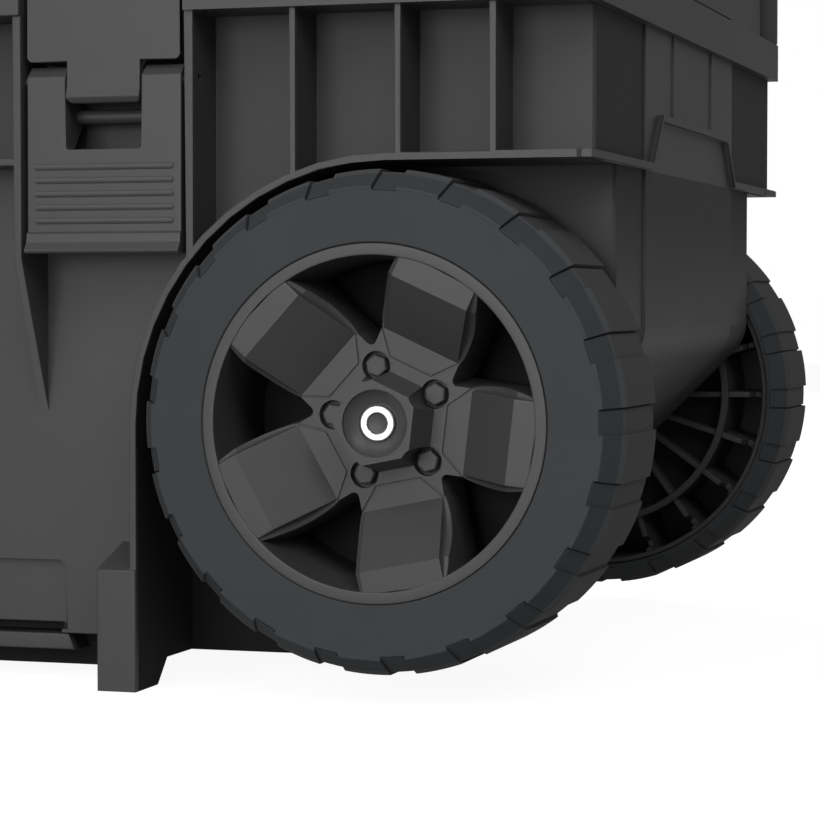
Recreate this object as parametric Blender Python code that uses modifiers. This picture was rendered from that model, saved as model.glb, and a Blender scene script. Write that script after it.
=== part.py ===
"""Rolling tool chest: ribbed tub, hinged lid, two latches, off-road wheels and a pull-out handle.

Length runs along X with the wheels at +X, the latches face -Y, and Z = 0 is the ground under the feet.
"""
from math import asin, cos, pi, radians, sin, sqrt

import bmesh
import bpy
from mathutils import Matrix, Vector

mm = 0.001

# Clearances
FIT = 0.3 * mm            # between pieces that seat on each other
RUN = 0.5 * mm            # between pieces that slide or turn
BITE = 3.0 * mm           # how far a moulded detail sinks into the wall that carries it
MERGE = 0.01 * mm         # points closer than this are one point
BRACKET_GAP = 1.2 * mm    # behind the lid's latch brackets

# Tub and rim
BODY_LENGTH = 803 * mm    # across the ends of the rim band
BODY_DEPTH = 490 * mm     # across the long sides of the rim band
BAND_HEIGHT = 22 * mm
BAY_HEIGHT = 67.8 * mm    # between the belt and the rim band
BAND_PROUD = 2 * mm       # band beyond the front edges of the ribs
TUB_BOTTOM = 12 * mm
WALL = 4 * mm
RIB_DEPTH = 30 * mm
RIB_THICK = 3.2 * mm
BELT_THICK = 3.5 * mm     # horizontal flange under the rib bays
END_BELT_STEP = 1 * mm    # belt across the wheel end behind the band
END_STEP = 4.3 * mm       # end panel behind the band
POCKET_STEP = 1.4 * mm    # corner pocket behind the end panel
PANEL_HALF = 114 * mm
RIDGE_AT = 50 * mm        # upright ridges on the end panel above the belt
RIDGE_WIDTH = 3 * mm
RIDGE_PROUD = 1 * mm
JOG_RISE = 25 * mm        # step of the belt over the grip recess in the wheel end
JOG_HALF = 86 * mm
JOG_SLANT = 23 * mm
CHAMFER_RISE = 151 * mm   # height of the 45 degree slope under the wheel end
END_BEND = 24 * mm        # radius where the wheel end turns into that slope
OUTER_RIBS = (46.8 * mm, 91.8 * mm, 142.9 * mm)  # ribs beside a latch, from the end of the band
MIDDLE_RIBS = (-0.6, -0.2, 0.2, 0.6)  # shares of the half bay between the latches
PLINTH_STEP = 18 * mm     # base behind the long walls
PLINTH_TALL = 11 * mm     # lower edge of the long walls above the tub's bottom
PLINTH_DROP = 7 * mm      # base below the tub's bottom
LIFT_HALF = 130 * mm      # lifting recess low in each long wall
LIFT_TALL = 31 * mm
LIFT_DEPTH = 3 * mm
SLOT_TALL = 5 * mm
SLOT_DEPTH = 13 * mm
RAIL_TALL = 8 * mm        # rail under the lifting slot

# Feet
FOOT_WIDTH = 20 * mm
FOOT_DEPTH = 28 * mm
FOOT_HEIGHT = 58 * mm
FOOT_SLOPE = 12 * mm
FOOT_PROUD = 1 * mm
FOOT_INSET = 34 * mm      # far feet from the handle end

# Wheels and axle
WHEEL_RADIUS = 116 * mm
RIM_RADIUS = 82 * mm
TREAD_WIDTH = 58 * mm
SHOULDER_BACK = 14.5 * mm # tread's edge behind the flat sidewall
SHOULDER_RISE = 8.5 * mm  # radius that the shoulder gains over that depth
WHEEL_PROUD = 20 * mm     # rim lip beyond the ribs
HUB_FROM_END = 98 * mm
WHEEL_CLEAR = 14 * mm     # tyre above the ground while the feet stand on it
ARCH_GAP = 7.8 * mm
ARCH_DROP = 3.5 * mm        # centre of the arch below the hub
WELL_GAP = 4 * mm         # tyre's inner side to the wall of its well
LUG_COUNT = 21            # pitches of one short and one long lug
LUG_GROOVE = 1.6 * mm
LUG_DEPTH = 4 * mm
LUG_STEP = 2.2 * mm       # short lugs below the long ones
LUG_SHORT = 0.35          # share of a pitch that is a short lug
LUG_TURN = radians(38.3)
SIDEWALL = 20 * mm        # thickness of the tyre's outer side
DRUM_RADIUS = 103.5 * mm  # outer ring of the rim, which carries the tread
DRUM_WALL = 3 * mm
RIM_INSET = 4 * mm        # rim's inner edge within the tyre
RIB_DIP = 14 * mm         # ribs between barrel and drum below the rim's inner edge, where they meet the drum
DIP_WIDTH = 6 * mm
LIP_WIDTH = 5.5 * mm
BARREL_WALL = 4.5 * mm
SPOKE_COUNT = 5
SPOKE_WIDTH = 39 * mm
SPOKE_TURN = radians(-6.5)
SPOKE_BACK = 1 * mm       # outer band of a spoke behind the rim lip
SPOKE_DEEP = 42 * mm      # back of the spokes behind the rim lip
PANEL_INNER = 38.8 * mm   # radius where a spoke starts to rise
PANEL_OUTER = 65.2 * mm   # radius where it reaches its outer band
PLATE_RADIUS = 43 * mm    # flat plate that joins the spokes
PLATE_BACK = 24 * mm
PLATE_THICK = 12 * mm
HUB_RADIUS = 27 * mm
BOSS_HALF = 17.7 * mm     # pentagon boss across its flats, at the top and at the foot
BOSS_FOOT = 21.8 * mm
BOSS_BACK = 5 * mm
BOWL_RADIUS = 15.8 * mm
BOWL_DEEP = 9 * mm
NUT_CIRCLE = 26.4 * mm
NUT_RADIUS = 5.4 * mm
NUT_BORE = 7 * mm
NUT_SINK = 5 * mm
NUT_PROUD = 0.6 * mm
RIB_COUNT = 20            # radial stiffeners on the inner side of a rim
WEB_BACK = 63 * mm        # closed web between hub and barrel, behind the rim lip
WEB_THICK = 3 * mm
AXLE_RADIUS = 8.2 * mm
AXLE_BORE = 5 * mm
AXLE_BACK = 9 * mm        # axle end behind the rim lip
BUSH_WALL = 3.5 * mm
SPACER_WALL = 8 * mm
SPACER_THICK = 4 * mm
CLIP_THICK = 2.4 * mm
CLIP_WALL = 4.2 * mm
SLEEVE_WALL = 4 * mm

# Latches
LATCH_WIDTH = 79 * mm
LATCH_ARCH_GAP = 3.6 * mm # latch's lower corner to the wheel arch
CHANNEL_GAP = 2.5 * mm
FLANGE_THICK = 4.2 * mm
FLANGE_PAST = 2.5 * mm    # channel flange below the latch before it tapers
FLANGE_TAPER = 75 * mm
PIVOT_DROP = 53.1 * mm    # latch axis below the rim
KNUCKLE_RADIUS = 7 * mm
PIN_RADIUS = 2 * mm
FLAP_THICK = 6 * mm
FLAP_LENGTH = 82 * mm     # latch below its axis
LIP_HEIGHT = 9 * mm
LIP_OUT = 7 * mm
LIP_EDGE = 3 * mm
WINDOW_BELOW = 32.8 * mm
TONGUE_WIDTH = 37.5 * mm
TONGUE_BELOW = 9 * mm
TONGUE_THICK = 4 * mm
BRACKET_ABOVE = 9 * mm
BAR_BELOW = 18 * mm
BAR_SIZE = 4 * mm
GRIP_RIBS = 5
GRIP_PITCH = 6.6 * mm
GRIP_BELOW = 42.1 * mm
GRIP_RADIUS = 2.2 * mm

# Lid and hinge
LID_HEIGHT = 103.4 * mm
LID_GAP = 3 * mm          # between the rim and the lid, filled by the gasket
CAP_HEIGHT = 20 * mm
CAP_BEVEL = 6 * mm
FIELD_INSET = 45 * mm
FIELD_DEPTH = 2 * mm
HINGE_FROM_END = 150 * mm
HINGE_RADIUS = 6.5 * mm
HINGE_PIN = 2.5 * mm
HINGE_LEAF = 40 * mm

# Pull handle
TUBE_RADIUS = 10 * mm
TUBE_WALL = 1.5 * mm
TUBE_LENGTH = 430 * mm
TUBE_INSET = 19 * mm      # tube axis from the tub's inner wall
GUIDE_PAST = 27 * mm      # guide beyond the stowed tube's stop
GUIDE_GAP = 1.6 * mm      # guide bore round the tube
GUIDE_WALL = 2 * mm
COLLAR_WALL = 3 * mm
COLLAR_LIP = 2.5 * mm
COLLAR_THICK = 4 * mm
STOP_LENGTH = 14 * mm
GRIP_GAP = 1 * mm         # crossbar to the end wall
GRIP_UNDER = 6 * mm       # crossbar below the rim band
GRIP_OUT = 22.7 * mm      # thickness of the crossbar
GRIP_TALL = 28 * mm
GRIP_OVERHANG = 17 * mm   # crossbar past the tube axes
GRIP_BEVEL = 6 * mm
SOCKET_DEPTH = 15 * mm
HAND_DEPTH = 30 * mm
HAND_HALF = 100 * mm
HAND_TALL = 58 * mm
BUTTON_LENGTH = 46 * mm
BUTTON_WIDTH = 12 * mm
BUTTON_TALL = 9 * mm
BUTTON_PROUD = 4 * mm
BUTTON_BEVEL = 1.5 * mm
BUTTON_ROOF = 2 * mm
BUTTON_TRAVEL = 3.5 * mm
SPRING_RADIUS = 3 * mm
SPRING_WIRE = 0.4 * mm
SPRING_TURNS = 4
COIL_POINTS = 8
SADDLE_INSET = 40 * mm
SADDLE_LENGTH = 24 * mm
SADDLE_WALL = 3 * mm
SADDLE_FOOT = 18 * mm
SCREW_RADIUS = 2 * mm
SCREW_HEAD = 4 * mm
SCREW_HEAD_TALL = 2.4 * mm

# Planes and points worked out from the sizes above
band_x = BODY_LENGTH / 2
band_y = BODY_DEPTH / 2
rib_y = band_y - BAND_PROUD
wall_y = rib_y - RIB_DEPTH
inner_y = wall_y - WALL
plinth_y = wall_y - PLINTH_STEP
panel_x = band_x - END_STEP
pocket_x = panel_x - POCKET_STEP
inner_x = pocket_x - WALL
hub_x = band_x - HUB_FROM_END
hub_z = WHEEL_CLEAR + WHEEL_RADIUS
ring_y = rib_y + WHEEL_PROUD
tyre_back = TREAD_WIDTH + 2 * SHOULDER_BACK
well_y = ring_y - tyre_back - WELL_GAP
arch_radius = WHEEL_RADIUS + ARCH_GAP
arch_z = hub_z - ARCH_DROP
well_x = hub_x - arch_radius
floor_top = TUB_BOTTOM + WALL
plinth_top = TUB_BOTTOM + PLINTH_TALL
slot_top = plinth_top + SLOT_TALL
belt_low = arch_z + arch_radius
belt_top = belt_low + BELT_THICK
band_low = belt_top + BAY_HEIGHT
rim_top = band_low + BAND_HEIGHT
lid_low = rim_top + LID_GAP
lid_top = lid_low + LID_HEIGHT
pivot_z = rim_top - PIVOT_DROP
pivot_y = -(rib_y - BAND_PROUD - KNUCKLE_RADIUS)
flap_front = pivot_y - KNUCKLE_RADIUS
flap_bottom = pivot_z - FLAP_LENGTH
flange_full = flap_bottom - FLANGE_PAST
arch_at_flap = sqrt((arch_radius + BELT_THICK) ** 2 - (flap_bottom - arch_z) ** 2)
latch_x = hub_x - arch_at_flap - LATCH_ARCH_GAP - LATCH_WIDTH / 2
channel_half = LATCH_WIDTH / 2 + CHANNEL_GAP
hinge_y = band_y + HINGE_RADIUS
hinge_z = rim_top + LID_GAP / 2
hinge_x = band_x - HINGE_FROM_END
tube_y = inner_y - TUBE_INSET
tube_z = band_low - GRIP_UNDER - GRIP_TALL / 2
grip_back = -(pocket_x + GRIP_GAP)
grip_face = grip_back - GRIP_OUT
tube_start = grip_back - SOCKET_DEPTH + FIT
guide_bore = TUBE_RADIUS + GUIDE_GAP
guide_start = -inner_x + COLLAR_THICK + 2 * FIT
guide_end = tube_start + TUBE_LENGTH + STOP_LENGTH / 2 + GUIDE_PAST
collar_neck = TUBE_RADIUS + COLLAR_WALL
hand_low = band_low - HAND_TALL
plinth_start = -band_x + FOOT_INSET + FOOT_WIDTH
plinth_end = well_x - FOOT_WIDTH
SIDES = {"front": -1, "rear": 1}
LATCHES = {"left": -1, "right": 1}


for old in list(bpy.data.objects):
    bpy.data.objects.remove(old, do_unlink=True)
chest = bpy.data.collections.new("tool_chest")
tools = bpy.data.collections.new("cutters")
bpy.context.scene.collection.children.link(chest)
bpy.context.scene.collection.children.link(tools)


def finish(name, colour, roughness, metallic=0.0):
    """A plain Principled material."""
    material = bpy.data.materials.new(name)
    material.use_nodes = True
    shader = material.node_tree.nodes["Principled BSDF"]
    shader.inputs["Base Color"].default_value = (*colour, 1.0)
    shader.inputs["Roughness"].default_value = roughness
    shader.inputs["Metallic"].default_value = metallic
    return material


charcoal = finish("charcoal_plastic", (0.062, 0.063, 0.065), 0.55)
graphite = finish("graphite_plastic", (0.082, 0.083, 0.085), 0.5)
tyre_rubber = finish("tyre_rubber", (0.042, 0.044, 0.047), 0.75)
seal_rubber = finish("seal_rubber", (0.02, 0.02, 0.02), 0.8)
bright_steel = finish("bright_steel", (0.75, 0.75, 0.76), 0.25, 1.0)
zinc_steel = finish("zinc_steel", (0.5, 0.5, 0.51), 0.4, 1.0)
aluminium = finish("aluminium_tube", (0.62, 0.63, 0.64), 0.35, 1.0)


def node(name, mesh, material, parent=None, collection=chest):
    """One named object; its mesh stays in the parent's own space."""
    made = bpy.data.objects.new(name, mesh)
    collection.objects.link(made)
    made.parent = parent
    if material:
        mesh.materials.append(material)
    return made


def pivot(name, place, turn=(0, 0, 0)):
    """An empty on a joint's axis, which carries the pieces that move about it."""
    made = bpy.data.objects.new(name, None)
    made.location = place
    made.rotation_euler = turn
    chest.objects.link(made)
    return made


def hidden(name, mesh):
    """A tool body for a Boolean modifier."""
    made = node(name, mesh, None, None, tools)
    made.hide_render = True
    made.display_type = "WIRE"
    return made


def mesh_from(name, bm):
    mesh = bpy.data.meshes.new(name)
    bm.to_mesh(mesh)
    bm.free()
    return mesh


def box(name, low, high):
    """Mesh of a block between two corners."""
    bm = bmesh.new()
    pairs = [sorted(pair) for pair in zip(low, high)]
    low, high = (Vector(corner) for corner in zip(*pairs))
    size = Matrix.Diagonal((*(high - low), 1.0))
    bmesh.ops.create_cube(bm, size=1.0, matrix=Matrix.Translation((low + high) / 2) @ size)
    return mesh_from(name, bm)


def rod(name, axis, start, end, centre, radius, sides=24, turn=0.0):
    """Mesh of a round or many-sided bar along X, Y or Z; centre holds the other two coordinates."""
    bm = bmesh.new()
    face = {"X": Matrix.Rotation(pi / 2, 4, "Y"), "Y": Matrix.Rotation(-pi / 2, 4, "X"),
            "Z": Matrix.Identity(4)}[axis]
    middle = list(centre)
    middle.insert("XYZ".index(axis), (start + end) / 2)
    place = Matrix.Translation(middle) @ face @ Matrix.Rotation(turn, 4, "Z")
    bmesh.ops.create_cone(bm, cap_ends=True, segments=sides, radius1=radius, radius2=radius,
                          depth=end - start, matrix=place)
    return mesh_from(name, bm)


def frustum(name, low, high, foot, top, sides, turn):
    """Mesh of a many-sided taper along Z, sized across its flats, with a corner at the given turn."""
    bm = bmesh.new()
    corner = 1 / cos(pi / sides)
    place = Matrix.Translation((0, 0, (low + high) / 2)) @ Matrix.Rotation(turn, 4, "Z")
    bmesh.ops.create_cone(bm, cap_ends=True, segments=sides, radius1=foot * corner, radius2=top * corner,
                          depth=high - low, matrix=place)
    return mesh_from(name, bm)


def prism(name, axis, outline, start, end):
    """Mesh of a flat outline drawn as a filled 2D curve, extruded along an axis."""
    curve = bpy.data.curves.new(name, "CURVE")
    curve.dimensions = "2D"
    curve.fill_mode = "BOTH"
    curve.extrude = (end - start) / 2
    spline = curve.splines.new("POLY")
    spline.points.add(len(outline) - 1)
    for point, (u, v) in zip(spline.points, outline):
        point.co = (u, v, 0, 1)
    spline.use_cyclic_u = True
    drawn = bpy.data.objects.new(name, curve)
    tools.objects.link(drawn)
    shape = bpy.context.evaluated_depsgraph_get()
    mesh = bpy.data.meshes.new_from_object(drawn.evaluated_get(shape))
    bpy.data.objects.remove(drawn, do_unlink=True)
    bm = bmesh.new()
    bm.from_mesh(mesh)
    bmesh.ops.remove_doubles(bm, verts=bm.verts, dist=MERGE)
    face = {"X": Matrix(((0, 0, 1, 0), (1, 0, 0, 0), (0, 1, 0, 0), (0, 0, 0, 1))),
            "Y": Matrix.Rotation(pi / 2, 4, "X"), "Z": Matrix.Identity(4)}[axis]
    middle = Vector((0, 0, 0))
    middle["XYZ".index(axis)] = (start + end) / 2
    bm.transform(Matrix.Translation(middle) @ face)
    bmesh.ops.recalc_face_normals(bm, faces=bm.faces)
    bm.to_mesh(mesh)
    bm.free()
    return mesh


def together(name, meshes, spin=None):
    """Several meshes in one; spin repeats them about Z by count."""
    bm = bmesh.new()
    for turn in range(spin or 1):
        around = Matrix.Rotation(2 * pi * turn / (spin or 1), 4, "Z")
        for mesh in meshes:
            copy = mesh.copy()
            copy.transform(around)
            bm.from_mesh(copy)
            bpy.data.meshes.remove(copy)
    return mesh_from(name, bm)


def turned(name, profile, material, parent, steps=20):
    """A ring or disc: closed profile of (radius, height), swept about Z with a Screw modifier."""
    bm = bmesh.new()
    corners = [bm.verts.new((radius, 0, height)) for radius, height in profile]
    for first, second in zip(corners, corners[1:] + corners[:1]):
        bm.edges.new((first, second))
    made = node(name, mesh_from(name, bm), material, parent)
    screw = made.modifiers.new("turn", "SCREW")
    screw.steps = screw.render_steps = steps
    screw.use_merge_vertices = True
    screw.merge_threshold = MERGE
    return made


def tube_profile(bore, radius, low, high):
    """Section of a plain ring, down its outer side and back up its bore."""
    return [(radius, high), (radius, low), (bore, low), (bore, high)]


def boolean(target, mesh, operation, name):
    """Cut or join a tool mesh, which stays as a hidden body beside its target."""
    body = hidden(f"{target.name}.{name}", mesh)
    body.parent = target.parent
    change = target.modifiers.new(name, "BOOLEAN")
    change.operation = operation
    change.object = body
    return body


def settled(body):
    """Mesh of a tool body after its own cuts."""
    shape = bpy.context.evaluated_depsgraph_get()
    mesh = bpy.data.meshes.new_from_object(body.evaluated_get(shape))
    bpy.data.objects.remove(body, do_unlink=True)
    return mesh


def cut(target, mesh, name):
    return boolean(target, mesh, "DIFFERENCE", name)


def add(target, mesh, name):
    return boolean(target, mesh, "UNION", name)


def soften(target, width, segments=2, angle=radians(40)):
    """Rounded edges."""
    change = target.modifiers.new("round", "BEVEL")
    change.width = width
    change.segments = segments
    change.limit_method = "ANGLE"
    change.angle_limit = angle
    return change


def weld(target, name):
    """Join the points that meet within the merge distance."""
    change = target.modifiers.new(name, "WELD")
    change.merge_threshold = 2 * MERGE


def both_sides(low, high):
    """The same block on the front and on the rear."""
    (x0, y0, z0), (x1, y1, z1) = low, high
    return [box("side", (x0, -y1, z0), (x1, -y0, z1)), box("side", (x0, y0, z0), (x1, y1, z1))]


def rib_places():
    """Rib positions along X, shared by the tub and the lid so that their bays line up."""
    outer = [band_x - back for back in OUTER_RIBS]
    middle = latch_x - channel_half - FLANGE_THICK
    inner = [middle * share for share in MIDDLE_RIBS]
    return [-x for x in outer] + inner + outer


def rib_foot(x):
    """Height that a rib stands on: the belt, or the wheel arch where the rib is above its curve."""
    away, radius = hub_x - x, arch_radius + BELT_THICK / 2
    return arch_z + (sqrt(radius ** 2 - away ** 2) if 0 < away < radius else radius)


def latch_flanges():
    """Inner faces of the channel flanges beside each latch, and the way each one thickens."""
    return [(side * latch_x + way * channel_half, way) for side in (-1, 1) for way in (-1, 1)]


def arch_outline(grow, far_x, low):
    """Wheel arch: upright leg, quarter circle, then flat to the wheel end."""
    radius = arch_radius + grow
    steps = 12
    arc = [(hub_x - radius * cos(pi / 2 * i / steps), arch_z + radius * sin(pi / 2 * i / steps))
           for i in range(steps + 1)]
    return [(hub_x - radius, low)] + arc + [(far_x, arch_z + radius), (far_x, low)]


def end_profile(shift, top, low):
    """Wheel end seen along Y, set in by shift: upright, then bent into the 45 degree slope."""
    centre_x = panel_x - END_BEND
    centre_z = TUB_BOTTOM + CHAMFER_RISE + END_BEND * (sqrt(2) - 1)
    radius, steps = END_BEND - shift, 4
    bend = [(centre_x + radius * cos(a), centre_z - radius * sin(a))
            for a in (pi / 4 * i / steps for i in range(steps + 1))]
    foot_x = bend[-1][0] - bend[-1][1] + low
    return [(panel_x - shift, top)] + bend + [(foot_x, low)]


def slope_outline(shift):
    """Everything outside the wheel end, from its bend down."""
    low = TUB_BOTTOM - FOOT_HEIGHT
    edge = end_profile(shift, band_low, low)[1:]
    return edge + [(band_x + FOOT_HEIGHT, low), (band_x + FOOT_HEIGHT, edge[0][1])]


def belt_outline():
    """Belt across the wheel end with its raised middle, seen along X."""
    low = belt_low + FIT
    half = [(rib_y - BITE, low), (JOG_HALF + JOG_SLANT, low), (JOG_HALF, low + JOG_RISE)]
    lower = [(-u, v) for u, v in half] + half[::-1]
    return lower + [(u, v + BELT_THICK) for u, v in reversed(lower)]


def foot_outline(side):
    """Foot seen along X: flat sole, upright face, sloped shoulder and a slanted step behind."""
    face = rib_y + FOOT_PROUD
    back = face - FOOT_DEPTH
    rear = wall_y - BITE
    points = [(face, 0), (face, FOOT_HEIGHT), (rear, FOOT_HEIGHT + FOOT_SLOPE),
              (rear, TUB_BOTTOM + BITE), (back - TUB_BOTTOM - BITE, TUB_BOTTOM + BITE), (back, 0)]
    return [(side * u, v) for u, v in points]


def flange_outline():
    """Channel flange beside a latch, tapering to nothing below it."""
    root = -(wall_y - BITE)
    return [(root, band_low + BITE), (-rib_y, band_low + BITE), (-rib_y, flange_full),
            (-wall_y, flange_full - FLANGE_TAPER), (root, flange_full - FLANGE_TAPER)]


def tub_cavity():
    """Inside of the tub, kept a wall away from the wheel wells, the slope and the hand recess."""
    cavity = hidden("base_tub.inside", box("inside", (-inner_x, -inner_y, floor_top),
                                           (inner_x, inner_y, rim_top + BAND_HEIGHT)))
    inset = BITE + WALL
    add(cavity, box("base", (plinth_start + inset, inset - plinth_y, floor_top - PLINTH_DROP),
                    (plinth_end - inset, plinth_y - inset, floor_top + BITE)), "base")
    for side in SIDES.values():
        ends = sorted((side * (well_y - WALL), side * band_y))
        cut(cavity, prism("well", "Y", arch_outline(WALL, band_x, -WALL), *ends), f"well{side}")
    cut(cavity, prism("slope", "Y", slope_outline(WALL), -band_y, band_y), "slope")
    hand = box("hand", (-band_x, -HAND_HALF - WALL, hand_low - WALL),
               (-pocket_x + HAND_DEPTH + WALL, HAND_HALF + WALL, rim_top + 2 * BAND_HEIGHT))
    cut(cavity, hand, "hand")
    for x0, x1, inner, top in ((plinth_start, plinth_end, plinth_y, slot_top),
                               (-LIFT_HALF, LIFT_HALF, wall_y - LIFT_DEPTH, slot_top + LIFT_TALL)):
        low = (x0 - WALL, inner - WALL, 0)
        cut(cavity, together("low", both_sides(low, (x1 + WALL, band_y, top + WALL))), f"low{top:.3f}")
    return cavity


def screw_places():
    """Screw axes of the guide saddles: (name, side, x, height)."""
    near = guide_start + SADDLE_INSET
    far = guide_end - 2 * SADDLE_INSET
    drop = guide_bore + GUIDE_WALL + SADDLE_FOOT / 2
    return [(f"{label}_{end}", side, x, tube_z - drop)
            for label, side in SIDES.items() for end, x in (("outer", near), ("inner", far))]


def build_tub():
    """Moulded tub: walls, rim band, rib bays, wheel wells, latch channels and feet."""
    tub = node("base_tub", box("tub", (-pocket_x, -wall_y, TUB_BOTTOM),
                               (pocket_x, wall_y, rim_top - BITE)), charcoal)
    step = both_sides((plinth_start, plinth_y, 0), (plinth_end, band_y, plinth_top))
    half = LIFT_HALF - BITE
    slot = both_sides((-half, wall_y - SLOT_DEPTH, plinth_top - BITE), (half, band_y, slot_top))
    cut(tub, together("step", step), "step")
    cut(tub, together("slot", slot), "slot")
    lift = both_sides((-LIFT_HALF, wall_y - LIFT_DEPTH, slot_top - BITE),
                      (LIFT_HALF, band_y, slot_top + LIFT_TALL))
    cut(tub, together("lift", lift), "lift")
    base = box("plinth", (plinth_start + BITE, -plinth_y + BITE, TUB_BOTTOM - PLINTH_DROP),
               (plinth_end - BITE, plinth_y - BITE, TUB_BOTTOM + BITE))
    add(tub, base, "plinth")
    half -= BITE
    rail = both_sides((-half, plinth_y - BITE, plinth_top - RAIL_TALL), (half, wall_y - FIT, plinth_top - FIT))
    add(tub, together("rail", rail), "rail")
    add(tub, box("band", (-band_x, -band_y, band_low), (band_x, band_y, rim_top)), "band")
    cut(tub, prism("slope", "Y", slope_outline(POCKET_STEP), -band_y, band_y), "slope")
    top, low = band_low + BITE, TUB_BOTTOM + BITE
    panel = end_profile(0, top, low) + end_profile(POCKET_STEP + WALL / 2, top, low)[::-1]
    add(tub, prism("panel", "Y", panel, -PANEL_HALF, PANEL_HALF), "panel")
    weld(tub, "panel_seam")
    ridges = [box("ridge", (panel_x - WALL / 2, side * RIDGE_AT - RIDGE_WIDTH / 2, belt_top + JOG_RISE - FIT),
                  (panel_x + RIDGE_PROUD, side * RIDGE_AT + RIDGE_WIDTH / 2, band_low + WALL)) for side in (-1, 1)]
    add(tub, together("ridges", ridges), "ridges")
    for label, side in SIDES.items():
        ends = sorted((side * (wall_y - BITE), side * rib_y))
        arch = arch_outline(BELT_THICK, band_x - RUN, TUB_BOTTOM - FIT)
        add(tub, prism("arch", "Y", arch, *ends), f"arch_{label}")
    root = wall_y - BITE
    ribs = []
    for x in rib_places():
        span = ((x - RIB_THICK / 2, root, rib_foot(x)), (x + RIB_THICK / 2, rib_y, band_low + BITE))
        ribs += both_sides(*span)
    for side in (-1, 1):
        ends = sorted((side * (pocket_x - FIT), side * (pocket_x - RIB_THICK)))
        ribs.append(box("corner", (ends[0], root, rib_foot(-band_x)), (ends[1], rib_y - FIT, band_low + BITE)))
        x = side * (latch_x + channel_half)
        ribs.append(box("post", (x, root, flange_full), (x + side * FLANGE_THICK, rib_y, band_low + BITE)))
    add(tub, together("ribs", ribs), "ribs")
    middle = latch_x - channel_half - FLANGE_THICK / 2
    outer = latch_x + channel_half + FLANGE_THICK / 2
    belts = [box("belt", (-band_x, -rib_y, belt_low), (-outer, -root, belt_top)),
             box("belt", (-middle, -rib_y, belt_low), (middle, -root, belt_top)),
             box("belt", (-band_x, root, belt_low), (outer, rib_y, belt_top))]
    add(tub, together("belts", belts), "belts")
    add(tub, prism("end_belt", "X", belt_outline(), pocket_x - BITE, band_x - END_BELT_STEP),
        "end_belt")
    flanges = []
    for inner, way in latch_flanges():
        ends = sorted((inner, inner + way * FLANGE_THICK))
        flanges.append(prism("flange", "X", flange_outline(), *ends))
    add(tub, together("flanges", flanges), "flanges")
    feet = []
    for side in SIDES.values():
        for start in (well_x - FOOT_WIDTH, -band_x + FOOT_INSET):
            feet.append(prism("foot", "X", foot_outline(side), start, start + FOOT_WIDTH))
    add(tub, together("feet", feet), "feet")
    knuckles = []
    for side in (-1, 1):
        start, end = side * hinge_x - HINGE_LEAF / 2, side * hinge_x + HINGE_LEAF / 2
        outline = [(band_y - BITE, hinge_z), (band_y - BITE, band_low + BITE),
                   (hinge_y, hinge_z - HINGE_RADIUS)]
        steps = 14
        outline += [(hinge_y + HINGE_RADIUS * sin(pi * i / steps),
                     hinge_z - HINGE_RADIUS * cos(pi * i / steps)) for i in range(1, steps + 1)]
        outline += [(hinge_y - HINGE_RADIUS * sin(pi / 4), hinge_z + HINGE_RADIUS * cos(pi / 4))]
        knuckles.append(prism("knuckle", "X", outline, start, end))
    add(tub, together("knuckles", knuckles), "knuckles")
    cavity = tub_cavity()
    inside = tub.modifiers.new("inside", "BOOLEAN")
    inside.operation = "DIFFERENCE"
    inside.object = cavity
    for label, side in SIDES.items():
        ends = sorted((side * well_y, side * (band_y + WALL)))
        well = prism("well", "Y", arch_outline(0, band_x + WALL, -WALL), *ends)
        cut(tub, well, f"well_{label}")
    notches = [box("notch", (side * latch_x - channel_half, -band_y - WALL, band_low - WALL),
                   (side * latch_x + channel_half, -wall_y - FIT, rim_top + WALL))
               for side in LATCHES.values()]
    cut(tub, together("notches", notches), "notches")
    hand = box("hand", (-band_x - WALL, -HAND_HALF, hand_low),
               (-pocket_x + HAND_DEPTH, HAND_HALF, band_low))
    cut(tub, hand, "hand")
    reach = channel_half + FLANGE_THICK + WALL
    bores = [rod("bore", "X", side * latch_x - reach, side * latch_x + reach,
                 (pivot_y, pivot_z), PIN_RADIUS + FIT, 16) for side in LATCHES.values()]
    bores += [rod("bore", "X", side * hinge_x - HINGE_LEAF, side * hinge_x + HINGE_LEAF,
                  (hinge_y, hinge_z), HINGE_PIN + FIT, 16) for side in (-1, 1)]
    bores += [rod("bore", "Y", side * well_y - 2 * WALL, side * well_y + 2 * WALL,
                  (hub_x, hub_z), AXLE_RADIUS + FIT) for side in SIDES.values()]
    bores += [rod("bore", "X", -band_x, -inner_x + WALL, (side * tube_y, tube_z),
                  collar_neck + FIT) for side in SIDES.values()]
    for _, side, x, height in screw_places():
        ends = sorted((side * (inner_y - WALL), side * (wall_y - WALL / 4)))
        bores.append(rod("bore", "Y", *ends, (x, height), SCREW_RADIUS + FIT, 12))
    cut(tub, together("bores", bores), "bores")
    return tub


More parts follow.
